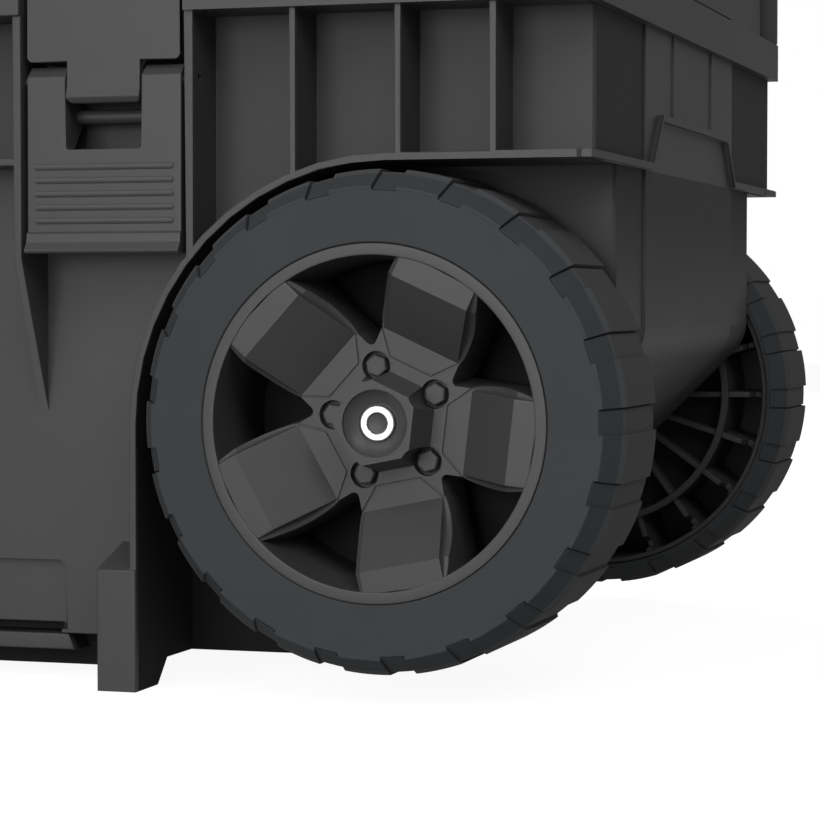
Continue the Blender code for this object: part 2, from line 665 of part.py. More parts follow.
def build_lid(hinge):
    """Deep ribbed lid with its cap, latch brackets and hinge knuckles."""
    lid = node("lid_shell", box("lid", (-pocket_x, -wall_y, lid_low),
                                (pocket_x, wall_y, lid_top - CAP_HEIGHT / 2)), charcoal)
    cap = hidden("lid_shell.cap", box("cap", (-band_x, -band_y, lid_top - CAP_HEIGHT),
                                      (band_x, band_y, lid_top)))
    soften(cap, CAP_BEVEL)
    crown = lid.modifiers.new("cap", "BOOLEAN")
    crown.operation = "UNION"
    crown.object = cap
    ribs = []
    for x in rib_places():
        span = ((x - RIB_THICK / 2, wall_y - BITE, lid_low),
                (x + RIB_THICK / 2, rib_y, lid_top - CAP_HEIGHT / 2))
        ribs += both_sides(*span)
    corners = []
    high = lid_top - CAP_HEIGHT / 2
    for side in (-1, 1):
        ends = sorted((side * (pocket_x - BITE), side * (pocket_x - BITE - RIB_THICK)))
        ribs.append(box("web", (ends[0], wall_y - BITE, lid_low), (ends[1], rib_y, high)))
        ends = sorted((side * (band_x - FIT), side * (pocket_x - BITE - FIT)))
        corners.append(box("corner", (ends[0], band_y - 2 * RIB_THICK, rim_top + 2 * FIT),
                           (ends[1], band_y - FIT, high)))
    add(lid, together("ribs", ribs), "ribs")
    add(lid, together("corners", corners), "corners")
    panels = [box("panel", (side * panel_x if side < 0 else pocket_x - BITE, -PANEL_HALF, lid_low),
                  (panel_x if side > 0 else -pocket_x + BITE, PANEL_HALF, lid_top - CAP_HEIGHT / 2))
              for side in (-1, 1)]
    add(lid, together("panels", panels), "panels")
    half = LATCH_WIDTH / 2 - FIT
    back = -(wall_y + BRACKET_GAP)
    bracket_low = pivot_z + BRACKET_ABOVE
    brackets = []
    tongues = []
    for side in LATCHES.values():
        x = side * latch_x
        outline = [(flap_front, bracket_low + 2 * BITE), (flap_front + BITE, bracket_low),
                   (back, bracket_low), (back, lid_low), (-(wall_y - BITE), lid_low),
                   (-(wall_y - BITE), lid_top - CAP_HEIGHT / 2), (-rib_y, lid_top - CAP_HEIGHT / 2),
                   (flap_front, lid_low + BAND_HEIGHT)]
        brackets.append(prism("bracket", "X", outline, x - half, x + half))
        tongues.append(box("tongue", (x - TONGUE_WIDTH / 2, flap_front + FIT, pivot_z - TONGUE_BELOW),
                           (x + TONGUE_WIDTH / 2, flap_front + FIT + TONGUE_THICK,
                            bracket_low + 4 * BITE)))
    add(lid, together("brackets", brackets), "brackets")
    add(lid, together("tongues", tongues), "tongues")
    arms = []
    for side in (-1, 1):
        for way in (-1, 1):
            inner = side * hinge_x + way * (HINGE_LEAF / 2 + RUN)
            ends = sorted((inner, inner + way * HINGE_LEAF / 2))
            outline = [(wall_y - BITE, lid_low + FIT), (band_y, lid_low + FIT)]
            steps = 14
            outline += [(hinge_y + HINGE_RADIUS * cos(a), hinge_z + HINGE_RADIUS * sin(a))
                        for a in (pi + pi * i / steps * 1.5 for i in range(steps + 1))]
            outline += [(wall_y - BITE, hinge_z + HINGE_RADIUS)]
            arms.append(prism("arm", "X", outline, *ends))
    add(lid, together("arms", arms), "arms")
    inside = box("inside", (-inner_x, -inner_y, lid_low - WALL), (inner_x, inner_y, lid_top - WALL))
    cut(lid, inside, "inside")
    field = box("field", (-band_x + FIELD_INSET, -band_y + FIELD_INSET, lid_top - FIELD_DEPTH),
                (band_x - FIELD_INSET, band_y - FIELD_INSET, lid_top + WALL))
    cut(lid, field, "field")
    bores = [rod("bore", "X", side * hinge_x - 2 * HINGE_LEAF, side * hinge_x + 2 * HINGE_LEAF,
                 (hinge_y, hinge_z), HINGE_PIN + FIT, 16) for side in (-1, 1)]
    cut(lid, together("bores", bores), "bores")
    for made in (lid, *[o for o in tools.objects if o.name.startswith("lid_shell.")]):
        made.parent = hinge
        made.matrix_parent_inverse = Matrix.Translation(hinge.location).inverted()
    return lid


def build_gasket(hinge):
    """Rubber seal between the rim and the lid, carried by the lid."""
    seal = node("lid_gasket", box("seal", (-pocket_x + FIT, -wall_y + FIT, rim_top + FIT),
                                  (pocket_x - FIT, wall_y - FIT, lid_low - FIT)), seal_rubber)
    window = cut(seal, box("window", (-inner_x, -inner_y, rim_top - WALL),
                           (inner_x, inner_y, lid_low + WALL)), "window")
    for made in (seal, window):
        made.parent = hinge
        made.matrix_parent_inverse = Matrix.Translation(hinge.location).inverted()


def build_hinge_pins():
    """Steel pins through the tub's and the lid's knuckles."""
    for label, side in LATCHES.items():
        half = HINGE_LEAF + RUN
        pin = rod("pin", "X", side * hinge_x - half, side * hinge_x + half,
                  (hinge_y, hinge_z), HINGE_PIN, 16)
        node(f"hinge_pin_{label}", pin, zinc_steel)


def build_latch(label, side):
    """Pivoting latch: knuckles, frame round the tongue's window, grip ribs and a flared lip."""
    axis = pivot(f"latch_axis_{label}", (side * latch_x, pivot_y, pivot_z))
    half = LATCH_WIDTH / 2
    window = TONGUE_WIDTH / 2 + 2 * RUN
    front, bottom = -KNUCKLE_RADIUS, -FLAP_LENGTH
    outline = [(front, 0), (front, bottom + LIP_HEIGHT * 2), (front - LIP_OUT, bottom + LIP_HEIGHT / 2),
               (front - LIP_OUT, bottom), (front - LIP_OUT + LIP_EDGE, bottom),
               (front + FLAP_THICK, bottom + LIP_HEIGHT), (front + FLAP_THICK, 0)]
    flap = node(f"latch_{label}", prism("flap", "X", outline, -half, half), graphite, axis)
    add(flap, rod("knuckle", "X", -half, half, (0, 0), KNUCKLE_RADIUS - FIT / 4), "knuckle")
    gap = box("window", (-window, -3 * KNUCKLE_RADIUS, -WINDOW_BELOW),
              (window, 3 * KNUCKLE_RADIUS, 3 * KNUCKLE_RADIUS))
    cut(flap, gap, "window")
    reach = window + BITE
    add(flap, box("bar", (-reach, front + RUN, -BAR_BELOW - BAR_SIZE / 2),
                  (reach, front + RUN + BAR_SIZE, -BAR_BELOW + BAR_SIZE / 2)), "bar")
    ridges = [rod("ridge", "X", -half + 2 * BITE, half - 2 * BITE,
                  (front + GRIP_RADIUS / 2, -GRIP_BELOW - GRIP_PITCH * i), GRIP_RADIUS, 12)
              for i in range(GRIP_RIBS)]
    add(flap, together("ridges", ridges), "ridges")
    cut(flap, rod("bore", "X", -half - WALL, half + WALL, (0, 0), PIN_RADIUS + FIT, 16), "bore")
    reach = channel_half + FLANGE_THICK
    pin = rod("pin", "X", side * latch_x - reach, side * latch_x + reach,
              (pivot_y, pivot_z), PIN_RADIUS, 16)
    node(f"latch_pin_{label}", pin, zinc_steel)


def tyre_profile():
    """Tyre section: bead, solid outer side, sloped shoulders and a level tread over the drum."""
    bead = RIM_RADIUS - LIP_WIDTH / 2 + FIT
    side = WHEEL_RADIUS - SHOULDER_RISE
    return [(RIM_RADIUS + FIT, 0), (side, 0), (WHEEL_RADIUS, -SHOULDER_BACK),
            (WHEEL_RADIUS, -SHOULDER_BACK - TREAD_WIDTH), (side, -tyre_back), (DRUM_RADIUS + FIT, -tyre_back),
            (DRUM_RADIUS + FIT, -SIDEWALL), (bead, -SIDEWALL), (bead, -LIP_WIDTH), (RIM_RADIUS + FIT, -LIP_WIDTH)]


def tread_cutter(name, depth, start, end):
    """Slots across shoulders and tread, sunk to one depth, once for every pitch."""
    floor, over = WHEEL_RADIUS - depth, WHEEL_RADIUS + LUG_DEPTH
    low = floor - SHOULDER_RISE * (1 + LUG_DEPTH / SHOULDER_BACK)
    section = [(low, LUG_DEPTH), (floor, -SHOULDER_BACK), (floor, -SHOULDER_BACK - TREAD_WIDTH),
               (low, -tyre_back - LUG_DEPTH), (over, -tyre_back - LUG_DEPTH), (over, LUG_DEPTH)]
    slot = prism(name, "Y", section, start, end)
    slot.transform(Matrix.Rotation(LUG_TURN, 4, "Z"))
    return together(name + "s", [slot], LUG_COUNT)


def spoke_mesh():
    """One broad spoke: flat by the hub, a panel that rises outwards, then a band level with the lip."""
    reach = RIM_RADIUS - LIP_WIDTH / 2 - RUN
    half = SPOKE_WIDTH / 2
    steps = 6
    sweep = asin(half / reach)
    plan = [(0, -half)] + [(reach * cos(a), reach * sin(a)) for a in
                           (sweep * (2 * i / steps - 1) for i in range(steps + 1))] + [(0, half)]
    spoke = hidden("spoke", prism("spoke", "Z", plan, -SPOKE_DEEP, -SPOKE_BACK))
    flat = -PLATE_BACK - RUN
    rise = (flat + SPOKE_BACK) / (PANEL_INNER - PANEL_OUTER)
    over = PANEL_OUTER + BITE
    crest = rise * BITE - SPOKE_BACK
    wedge = [(-BITE, flat), (PANEL_INNER, flat), (over, crest), (-BITE, crest)]
    cut(spoke, prism("panel", "Y", wedge, -SPOKE_WIDTH, SPOKE_WIDTH), "panel")
    return settled(spoke)


def build_wheel(label, side):
    """Tyre, five-spoke rim, bush, spacer and clip about one axle end, modelled along local Z."""
    turn = pi / 2 if side < 0 else -pi / 2
    axis = pivot(f"wheel_axis_{label}", (hub_x, side * ring_y, hub_z), (turn, 0, 0))
    tyre = turned(f"tyre_{label}", tyre_profile(), tyre_rubber, axis, 2 * LUG_COUNT)
    short = LUG_SHORT * 2 * pi * WHEEL_RADIUS / LUG_COUNT
    cut(tyre, tread_cutter("groove", LUG_DEPTH, -LUG_GROOVE / 2, LUG_GROOVE / 2), "grooves")
    cut(tyre, tread_cutter("step", LUG_STEP, -short, 0), "steps")
    inner_end = RIM_INSET - tyre_back
    seat = RIM_RADIUS - LIP_WIDTH / 2
    bore = RIM_RADIUS - LIP_WIDTH
    drum_bore = DRUM_RADIUS - DRUM_WALL
    step, step_back = -SIDEWALL - FIT, -SIDEWALL - FIT - DRUM_WALL
    barrel = [(RIM_RADIUS, 0), (RIM_RADIUS, -LIP_WIDTH + FIT), (seat, -LIP_WIDTH + FIT), (seat, step),
              (DRUM_RADIUS, step), (DRUM_RADIUS, inner_end), (drum_bore, inner_end), (drum_bore, step_back),
              (seat, step_back), (seat, inner_end + BITE), (seat - BARREL_WALL, inner_end + BITE),
              (bore - BARREL_WALL / 2, -2 * LIP_WIDTH), (bore, 0)]
    rim = turned(f"rim_{label}", barrel, graphite, axis, 2 * RIB_COUNT)
    hub_end = well_y + SPACER_THICK + FIT - ring_y
    add(rim, rod("hub", "Z", hub_end, -PLATE_BACK - BITE, (0, 0), HUB_RADIUS), "hub")
    spoke = spoke_mesh()
    for count in range(SPOKE_COUNT):
        arm = spoke.copy()
        arm.transform(Matrix.Rotation(SPOKE_TURN + 2 * pi * count / SPOKE_COUNT, 4, "Z"))
        add(rim, arm, f"spoke{count}")
    nut_turn = SPOKE_TURN + pi / SPOKE_COUNT
    add(rim, rod("plate", "Z", -PLATE_BACK - PLATE_THICK, -PLATE_BACK, (0, 0), PLATE_RADIUS, 4 * SPOKE_COUNT,
                 nut_turn + pi / (4 * SPOKE_COUNT)), "plate")
    add(rim, frustum("boss", -PLATE_BACK - BITE, -BOSS_BACK, BOSS_FOOT, BOSS_HALF, SPOKE_COUNT, nut_turn), "boss")
    middle, rim_wall = seat - BARREL_WALL / 2, drum_bore + DRUM_WALL / 2
    edge = inner_end + 2 * BITE
    stiff = box("stiff", (HUB_RADIUS - BITE, -RIB_THICK / 2, edge),
                (middle, RIB_THICK / 2, -WEB_BACK - WEB_THICK / 2))
    add(rim, together("stiff", [stiff], RIB_COUNT), "stiffeners")
    front = step - DRUM_WALL / 2
    outline = [(middle, front), (rim_wall, front), (rim_wall, inner_end + RIB_DIP),
               (drum_bore - DIP_WIDTH, inner_end + RIB_DIP), (drum_bore - DIP_WIDTH - BITE, edge), (middle, edge)]
    outer = prism("outer", "Y", outline, -RIB_THICK / 2, RIB_THICK / 2)
    add(rim, together("outer", [outer], RIB_COUNT), "outer_stiffeners")
    add(rim, rod("web", "Z", -WEB_BACK - WEB_THICK, -WEB_BACK, (0, 0), middle, 2 * RIB_COUNT), "web")
    bowl_back = BOSS_BACK + BOWL_DEEP
    cut(rim, rod("bowl", "Z", -bowl_back, BOWL_DEEP, (0, 0), BOWL_RADIUS), "bowl")
    spot = (NUT_CIRCLE * cos(nut_turn), NUT_CIRCLE * sin(nut_turn))
    recess = rod("recess", "Z", -PLATE_BACK - NUT_SINK, BOWL_DEEP, spot, NUT_BORE, 16)
    cut(rim, together("recesses", [recess], SPOKE_COUNT), "recesses")
    nut = rod("nut", "Z", -PLATE_BACK - NUT_SINK - BITE, -PLATE_BACK + NUT_PROUD, spot, NUT_RADIUS, 6)
    add(rim, together("nuts", [nut], SPOKE_COUNT), "nuts")
    bush_radius = AXLE_RADIUS + RUN / 2 + BUSH_WALL
    cut(rim, rod("bore", "Z", hub_end - WALL, WALL, (0, 0), bush_radius + FIT), "bore")
    weld(rim, "weld")
    turned(f"hub_bush_{label}", tube_profile(AXLE_RADIUS + RUN / 2, bush_radius, hub_end, -bowl_back),
           zinc_steel, axis)
    spacer = tube_profile(AXLE_RADIUS + FIT, AXLE_RADIUS + SPACER_WALL,
                          well_y + FIT - ring_y, hub_end - FIT)
    turned(f"hub_spacer_{label}", spacer, zinc_steel, axis)
    clip = tube_profile(AXLE_RADIUS + FIT, AXLE_RADIUS + CLIP_WALL, -bowl_back + FIT,
                        -bowl_back + FIT + CLIP_THICK)
    turned(f"axle_clip_{label}", clip, charcoal, axis)


def build_axle():
    """Steel tube from wheel to wheel, in a plastic sleeve inside the tub."""
    line = pivot("axle_line", (hub_x, 0, hub_z), (pi / 2, 0, 0))
    end = ring_y - AXLE_BACK
    turned("axle", tube_profile(AXLE_BORE, AXLE_RADIUS, -end, end), bright_steel, line)
    half = well_y - WALL - FIT
    turned("axle_sleeve", tube_profile(AXLE_RADIUS + FIT, AXLE_RADIUS + SLEEVE_WALL, -half, half),
           charcoal, line)


def build_handle():
    """Pull-out handle: two tubes with stops, a crossbar and its release button."""
    slide = pivot("handle_slide", (grip_back, 0, tube_z))
    half = tube_y + GRIP_OVERHANG
    grip = node("pull_grip", box("grip", (grip_face - grip_back, -half, -GRIP_TALL / 2),
                                 (0, half, GRIP_TALL / 2)), graphite, slide)
    soften(grip, GRIP_BEVEL, 3)
    sockets = [rod("socket", "X", -SOCKET_DEPTH, WALL, (side * tube_y, 0), TUBE_RADIUS + FIT)
               for side in SIDES.values()]
    cut(grip, together("sockets", sockets), "sockets")
    middle = -GRIP_OUT / 2
    hole = BUTTON_WIDTH / 2 + RUN
    floor = GRIP_TALL / 2 + BUTTON_PROUD - BUTTON_TALL - BUTTON_TRAVEL - RUN
    cut(grip, box("well", (middle - hole, -BUTTON_LENGTH / 2 - RUN, floor),
                  (middle + hole, BUTTON_LENGTH / 2 + RUN, GRIP_TALL)), "well")
    top = GRIP_TALL / 2 + BUTTON_PROUD
    press = pivot("button_press", (grip_back, 0, tube_z))
    button = node("release_button", box("button", (middle - BUTTON_WIDTH / 2, -BUTTON_LENGTH / 2,
                                                   top - BUTTON_TALL),
                                        (middle + BUTTON_WIDTH / 2, BUTTON_LENGTH / 2, top)),
                  charcoal, press)
    soften(button, BUTTON_BEVEL)
    pocket = SPRING_RADIUS + 2 * RUN
    roof = top - BUTTON_ROOF
    cut(button, rod("pocket", "Z", top - 2 * BUTTON_TALL, roof, (middle, 0), pocket, 24), "pocket")
    build_spring(middle, floor + SPRING_WIRE + FIT, roof - SPRING_WIRE - FIT - BUTTON_TRAVEL, slide)
    for label, side in SIDES.items():
        axis = pivot(f"tube_axis_{label}", (tube_start, side * tube_y, tube_z), (0, pi / 2, 0))
        turned(f"pull_tube_{label}", tube_profile(TUBE_RADIUS - TUBE_WALL, TUBE_RADIUS, 0, TUBE_LENGTH),
               aluminium, axis)
        plug = TUBE_RADIUS - TUBE_WALL - FIT
        stop = [(guide_bore - RUN, TUBE_LENGTH + STOP_LENGTH / 2), (guide_bore - RUN, TUBE_LENGTH + FIT),
                (plug, TUBE_LENGTH + FIT), (plug, TUBE_LENGTH - STOP_LENGTH),
                (plug / 2, TUBE_LENGTH - STOP_LENGTH), (plug / 2, TUBE_LENGTH + STOP_LENGTH / 2)]
        turned(f"tube_stop_{label}", stop, charcoal, axis)


def build_spring(x, low, high, parent):
    """Return spring under the release button."""
    curve = bpy.data.curves.new("button_spring", "CURVE")
    curve.dimensions = "3D"
    curve.bevel_depth = SPRING_WIRE
    curve.bevel_resolution = 1
    curve.use_fill_caps = True
    spline = curve.splines.new("POLY")
    count = COIL_POINTS * SPRING_TURNS
    spline.points.add(count)
    for i, point in enumerate(spline.points):
        angle = 2 * pi * i / COIL_POINTS
        height = low + (high - low) * i / count
        point.co = (x + SPRING_RADIUS * cos(angle), SPRING_RADIUS * sin(angle), height, 1)
    made = bpy.data.objects.new("button_spring", curve)
    curve.materials.append(zinc_steel)
    made.parent = parent
    chest.objects.link(made)


def build_guides():
    """Guide tubes for the handle, their collars in the end wall, and saddles on the side walls."""
    for label, side in SIDES.items():
        axis = pivot(f"guide_axis_{label}", (0, side * tube_y, tube_z), (0, pi / 2, 0))
        turned(f"guide_tube_{label}",
               tube_profile(guide_bore, guide_bore + GUIDE_WALL, guide_start, guide_end),
               zinc_steel, axis)
        bore = TUBE_RADIUS + FIT
        outside, inside = -pocket_x, -inner_x + FIT
        lip = collar_neck + COLLAR_LIP
        collar = [(lip, inside + COLLAR_THICK), (lip, inside), (collar_neck, inside),
                  (collar_neck, outside), (bore, outside), (bore, inside + COLLAR_THICK)]
        turned(f"tube_collar_{label}", collar, charcoal, axis)
    for name, side, x, height in screw_places():
        build_saddle(name, side, x, height)


def build_saddle(name, side, x, height):
    """Saddle round a guide tube, screwed to the tub's side wall."""
    ring = guide_bore + GUIDE_WALL + FIT
    inside = tube_y - ring - SADDLE_WALL
    face = inner_y - FIT
    ends = sorted((side * inside, side * face))
    top = tube_z + ring + SADDLE_WALL
    low = tube_z - ring - SADDLE_FOOT
    saddle = node(f"guide_saddle_{name}", box("saddle", (x - SADDLE_LENGTH / 2, ends[0], low),
                                              (x + SADDLE_LENGTH / 2, ends[1], top)), charcoal)
    cut(saddle, rod("ring", "X", x - SADDLE_LENGTH, x + SADDLE_LENGTH, (side * tube_y, tube_z),
                    ring), "ring")
    cut(saddle, rod("hole", "Y", ends[0] - WALL, ends[1] + WALL, (x, height), SCREW_RADIUS + FIT, 12),
        "hole")
    head = side * (inside - FIT)
    shank = sorted((head, side * (wall_y - WALL / 4 - FIT)))
    screw = node(f"saddle_screw_{name}", rod("shank", "Y", *shank, (x, height), SCREW_RADIUS, 12),
                 zinc_steel)
    crown = sorted((head, head - side * SCREW_HEAD_TALL))
    add(screw, rod("head", "Y", *crown, (x, height), SCREW_HEAD, 12), "head")


lid_hinge = pivot("lid_hinge", (0, hinge_y, hinge_z))
build_tub()
build_lid(lid_hinge)
build_gasket(lid_hinge)
build_hinge_pins()
for latch, where in LATCHES.items():
    build_latch(latch, where)
build_axle()
for wheel, where in SIDES.items():
    build_wheel(wheel, where)
build_handle()
build_guides()
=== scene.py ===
import bmesh
import bpy
from math import atan2, cos, pi, radians, sin, sqrt, tan
from mathutils import Matrix, Vector


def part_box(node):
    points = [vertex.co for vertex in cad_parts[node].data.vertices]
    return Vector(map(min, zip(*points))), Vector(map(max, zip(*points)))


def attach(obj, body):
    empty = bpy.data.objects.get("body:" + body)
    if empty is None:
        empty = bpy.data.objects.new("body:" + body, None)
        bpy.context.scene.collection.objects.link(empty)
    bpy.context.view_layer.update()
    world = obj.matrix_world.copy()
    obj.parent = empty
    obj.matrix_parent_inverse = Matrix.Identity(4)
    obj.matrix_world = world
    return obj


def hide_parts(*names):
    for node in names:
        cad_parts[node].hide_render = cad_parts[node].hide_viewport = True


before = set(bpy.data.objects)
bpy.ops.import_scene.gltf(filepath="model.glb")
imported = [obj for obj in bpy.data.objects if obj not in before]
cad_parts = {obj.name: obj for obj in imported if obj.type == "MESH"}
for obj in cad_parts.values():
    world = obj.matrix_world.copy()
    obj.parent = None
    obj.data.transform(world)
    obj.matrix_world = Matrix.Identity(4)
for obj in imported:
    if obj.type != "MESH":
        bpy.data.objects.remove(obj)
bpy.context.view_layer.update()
scene = bpy.context.scene
mm = 0.001
print("frame loaded")


# Shader maths as expressions


class Wire:
    # one socket of a node tree
    def __init__(self, tree, socket):
        self.tree, self.socket = tree, socket

    def node(self, kind, settings, sockets, output=0):
        made = self.tree.nodes.new(kind)
        for name, value in settings.items():
            if name == "stops":
                ramp = made.color_ramp
                while len(ramp.elements) < len(value):
                    ramp.elements.new(0.5)
                for element, (spot, level) in zip(ramp.elements, value):
                    element.position, element.color = spot, (level, level, level, 1)
            else:
                setattr(made, name, value)
        for name, value in sockets.items():
            if isinstance(value, Wire):
                self.tree.links.new(value.socket, made.inputs[name])
            else:
                made.inputs[name].default_value = value
        return Wire(self.tree, made.outputs[output])

    def maths(self, operation, first, second):
        return self.node("ShaderNodeMath", {"operation": operation}, {0: first, 1: second})

    def __add__(self, other):
        return self.maths("ADD", self, other)

    def __radd__(self, other):
        return self.maths("ADD", other, self)

    def __sub__(self, other):
        return self.maths("SUBTRACT", self, other)

    def __rsub__(self, other):
        return self.maths("SUBTRACT", other, self)

    def __mul__(self, other):
        return self.maths("MULTIPLY", self, other)

    def __rmul__(self, other):
        return self.maths("MULTIPLY", other, self)

    def noise(self, scale, detail=2.0, rough=0.5):
        sockets = {"Vector": self, "Scale": scale, "Detail": detail, "Roughness": rough}
        return self.node("ShaderNodeTexNoise", {}, sockets)

    def ramp(self, low, high):
        return self.node("ShaderNodeValToRGB", {"stops": [(low, 0.0), (high, 1.0)]}, {"Fac": self})

    def tint(self, first, second):
        # each colour is a Wire or a plain RGB
        first, second = (c if isinstance(c, Wire) else (*c, 1) for c in (first, second))
        return self.node("ShaderNodeMix", {"data_type": "RGBA"}, {0: self, 6: first, 7: second}, 2)

    def within(self, low, high):
        return self.maths("GREATER_THAN", self, low) * self.maths("LESS_THAN", self, high)

    def axis(self, index):
        return self.node("ShaderNodeSeparateXYZ", {}, {"Vector": self}, index)

    def into(self, shader, name):
        self.tree.links.new(self.socket, shader.inputs[name])


def startMaterial(name, **fixed):
    material = bpy.data.materials.new(name)
    material.use_nodes = True
    tree = material.node_tree
    shader = tree.nodes["Principled BSDF"]
    for socket, value in fixed.items():
        shader.inputs[socket.replace("_", " ")].default_value = value
    place = Wire(tree, tree.nodes.new("ShaderNodeTexCoord").outputs["Object"])
    return material, shader, place


def bump(height, shader, strength, distance):
    sockets = {"Height": height, "Strength": strength, "Distance": distance}
    height.node("ShaderNodeBump", {}, sockets).into(shader, "Normal")


def squareFrom(x, z, middle):
    # squared distance from an axis that runs along y
    dx, dz = x - middle[0], z - middle[1]
    return dx * dx + dz * dz


wheelAxis = (303.5 * mm, 130 * mm)
# painted shade: near-black colour mixed in where recesses, wheel wells and the underside lie in shade, with
# extra roughness there
paintedShadeColour = (0.005, 0.005, 0.005)
paintedShadeRough = 0.45
# painted shade boxes: a row of boxes holds x, y off the middle plane, z and the height of the fade, all in
# mm, then the level
charcoalLook = {"dark": (0.072, 0.072, 0.073), "light": (0.084, 0.084, 0.085), "rough": 0.44, "spread": 0.12,
                "patch": 9.0, "grain": 1500.0, "relief": 0.10,
                # painted shade inside the wheel wells
                "drum": {"middle": (303.5 * mm, 126.5 * mm), "radius": 124.2 * mm,
                         "deep": (171 * mm, 241.8 * mm), "level": 0.95, "until": (300 * mm, 360 * mm)},
                "boxes": [((-400, 200), (191.6, 208), (0, 23.4), 0.1, 0.96),  # under the base
                          ((-130, 130), (150, 211.5), (22.6, 28.2), 0.1, 0.85),  # lifting slots
                          ((179.2, 250), (171, 240.5), (0, 126.5), 0.1, 0.95),  # fronts of the wheel wells
                          ((394, 396.3), (90, 245), (175, 330), 65, 0.6),  # end pockets
                          ((396.3, 398.5), (0, 115), (165, 250.3), 65, 0.42),  # middle of the wheel end
                          ((300, 396), (170, 213.5), (120, 250.3), 30, 0.26),  # walls behind the tyres
                          ((-400, 394), (212, 240.5), (253.5, 321.6), 0.1, 0.25),  # rib bays
                          ((203, 300), (212, 240.5), (130, 253.6), 0.1, 0.25)]}  # rib bay beside the arch
graphiteLook = {"dark": (0.074, 0.074, 0.075), "light": (0.085, 0.085, 0.086), "rough": 0.42, "spread": 0.12,
                "patch": 14.0, "grain": 1700.0, "relief": 0.08,
                # painted shade on the web deep behind the wheel's windows
                "drum": {"middle": wheelAxis, "radius": 78.5 * mm, "deep": (196.5 * mm, 238 * mm),
                         "level": 0.93, "fade": 0.6},
                "boxes": []}


def paintedShadeOver(place, look):
    # painted shade deep in the wheels and their wells, then in boxes that fade in upwards
    x, y, z = (place.axis(index) for index in range(3))
    off = place.maths("ABSOLUTE", y, 0.0)
    drum = look["drum"]
    near, far = drum["deep"]
    inside = place.maths("LESS_THAN", squareFrom(x, z, drum["middle"]), drum["radius"] ** 2)
    paintedShade = inside * off.within(near, far) * drum["level"]
    if "fade" in drum:
        paintedShade = paintedShade * place.maths("MINIMUM", (far - off) * (1 / (drum["fade"] * (far - near))), 1.0)
    if "until" in drum:
        full, none = drum["until"]
        share = place.maths("MAXIMUM", (none - x) * (1 / (none - full)), 0.0)
        paintedShade = paintedShade * place.maths("MINIMUM", share, 1.0)
    for *spans, fade, level in look["boxes"]:
        across, outwards, upwards = ([edge * mm for edge in span] for span in spans)
        rising = place.maths("MINIMUM", (z - upwards[0]) * (1 / (fade * mm)), 1.0) * level
        box = x.within(*across) * off.within(*outwards) * z.within(*upwards) * rising
        paintedShade = place.maths("MAXIMUM", paintedShade, box)
    return paintedShade


def mouldedPlastic(name, look):
    # spark-eroded mould texture: fine grain, faint flow marks, slightly uneven sheen, with painted shade in
    # the recesses
    material, shader, place = startMaterial(name, Specular_IOR_Level=0.5)
    patch = place.noise(look["patch"], 4.0, 0.6)
    grain = place.noise(look["grain"], 3.0, 0.65)
    pits = place.node("ShaderNodeTexVoronoi", {"feature": "F1"},
                      {"Vector": place, "Scale": look["grain"] * 0.6})
    colour = (patch * 0.75 + grain * 0.25).ramp(0.3, 0.7).tint(look["dark"], look["light"])
    # painted shade: the mask below darkens the colour and roughens it
    paintedShade = paintedShadeOver(place, look)
    paintedShade.tint(colour, paintedShadeColour).into(shader, "Base Color")
    sheen = patch * look["spread"] + grain * 0.08 + (look["rough"] - look["spread"] / 2 - 0.04)
    (sheen + paintedShade * paintedShadeRough).into(shader, "Roughness")
    bump(grain * 0.6 + pits * 0.4, shader, look["relief"], 0.15 * mm)
    return material


tyreLook = {"dark": (0.058, 0.062, 0.067), "light": (0.068, 0.072, 0.077), "dust": (0.082, 0.083, 0.084),
            "tread": (0.105, 0.108, 0.112), "treadFrom": 113.8 * mm, "patch": 22.0, "grain": 900.0,
            "dustPatch": 60.0, "dustLevel": 0.35, "rough": 0.62}


def tyreRubber(name, look):
    # matt rubber with a fine nap and a trace of dry dust, paler over the tread
    material, shader, place = startMaterial(name, Specular_IOR_Level=0.35)
    patch = place.noise(look["patch"], 4.0, 0.6)
    grain = place.noise(look["grain"], 4.0, 0.7)
    colour = (patch * 0.6 + grain * 0.4).ramp(0.3, 0.7).tint(look["dark"], look["light"])
    dusty = place.noise(look["dustPatch"], 5.0, 0.7).ramp(0.56, 0.80) * look["dustLevel"]
    fromAxis = squareFrom(place.axis(0), place.axis(2), wheelAxis)
    worn = place.maths("GREATER_THAN", fromAxis, look["treadFrom"] ** 2) * (0.7 + grain * 0.3)
    worn.tint(dusty.tint(colour, look["dust"]), look["tread"]).into(shader, "Base Color")
    (look["rough"] + grain * 0.14 + dusty * 0.2).into(shader, "Roughness")
    bump(grain, shader, 0.16, 0.2 * mm)
    return material


def sealRubber(name):
    material, shader, place = startMaterial(name)
    skin = place.noise(160.0, 4.0, 0.6)
    skin.ramp(0.35, 0.7).tint((0.016, 0.016, 0.017), (0.026, 0.026, 0.027)).into(shader, "Base Color")
    (0.6 + skin * 0.2).into(shader, "Roughness")
    bump(place.noise(1200.0, 2.0), shader, 0.15, 0.1 * mm)
    return material


def brushedMetal(name, dark, light, rough, stretch):
    # drawn or turned metal: fine lines along one way, cloudy sheen over them
    material, shader, place = startMaterial(name, Metallic=1.0)
    lines = place.node("ShaderNodeMapping", {}, {"Vector": place, "Scale": stretch}).noise(1.0, 3.0, 0.6)
    cloud = place.noise(70.0, 4.0, 0.6)
    (lines * 0.5 + cloud * 0.5).ramp(0.3, 0.7).tint(dark, light).into(shader, "Base Color")
    (rough + lines * 0.12 + cloud * 0.10 - 0.10).into(shader, "Roughness")
    bump(lines, shader, 0.05, 0.05 * mm)
    return material


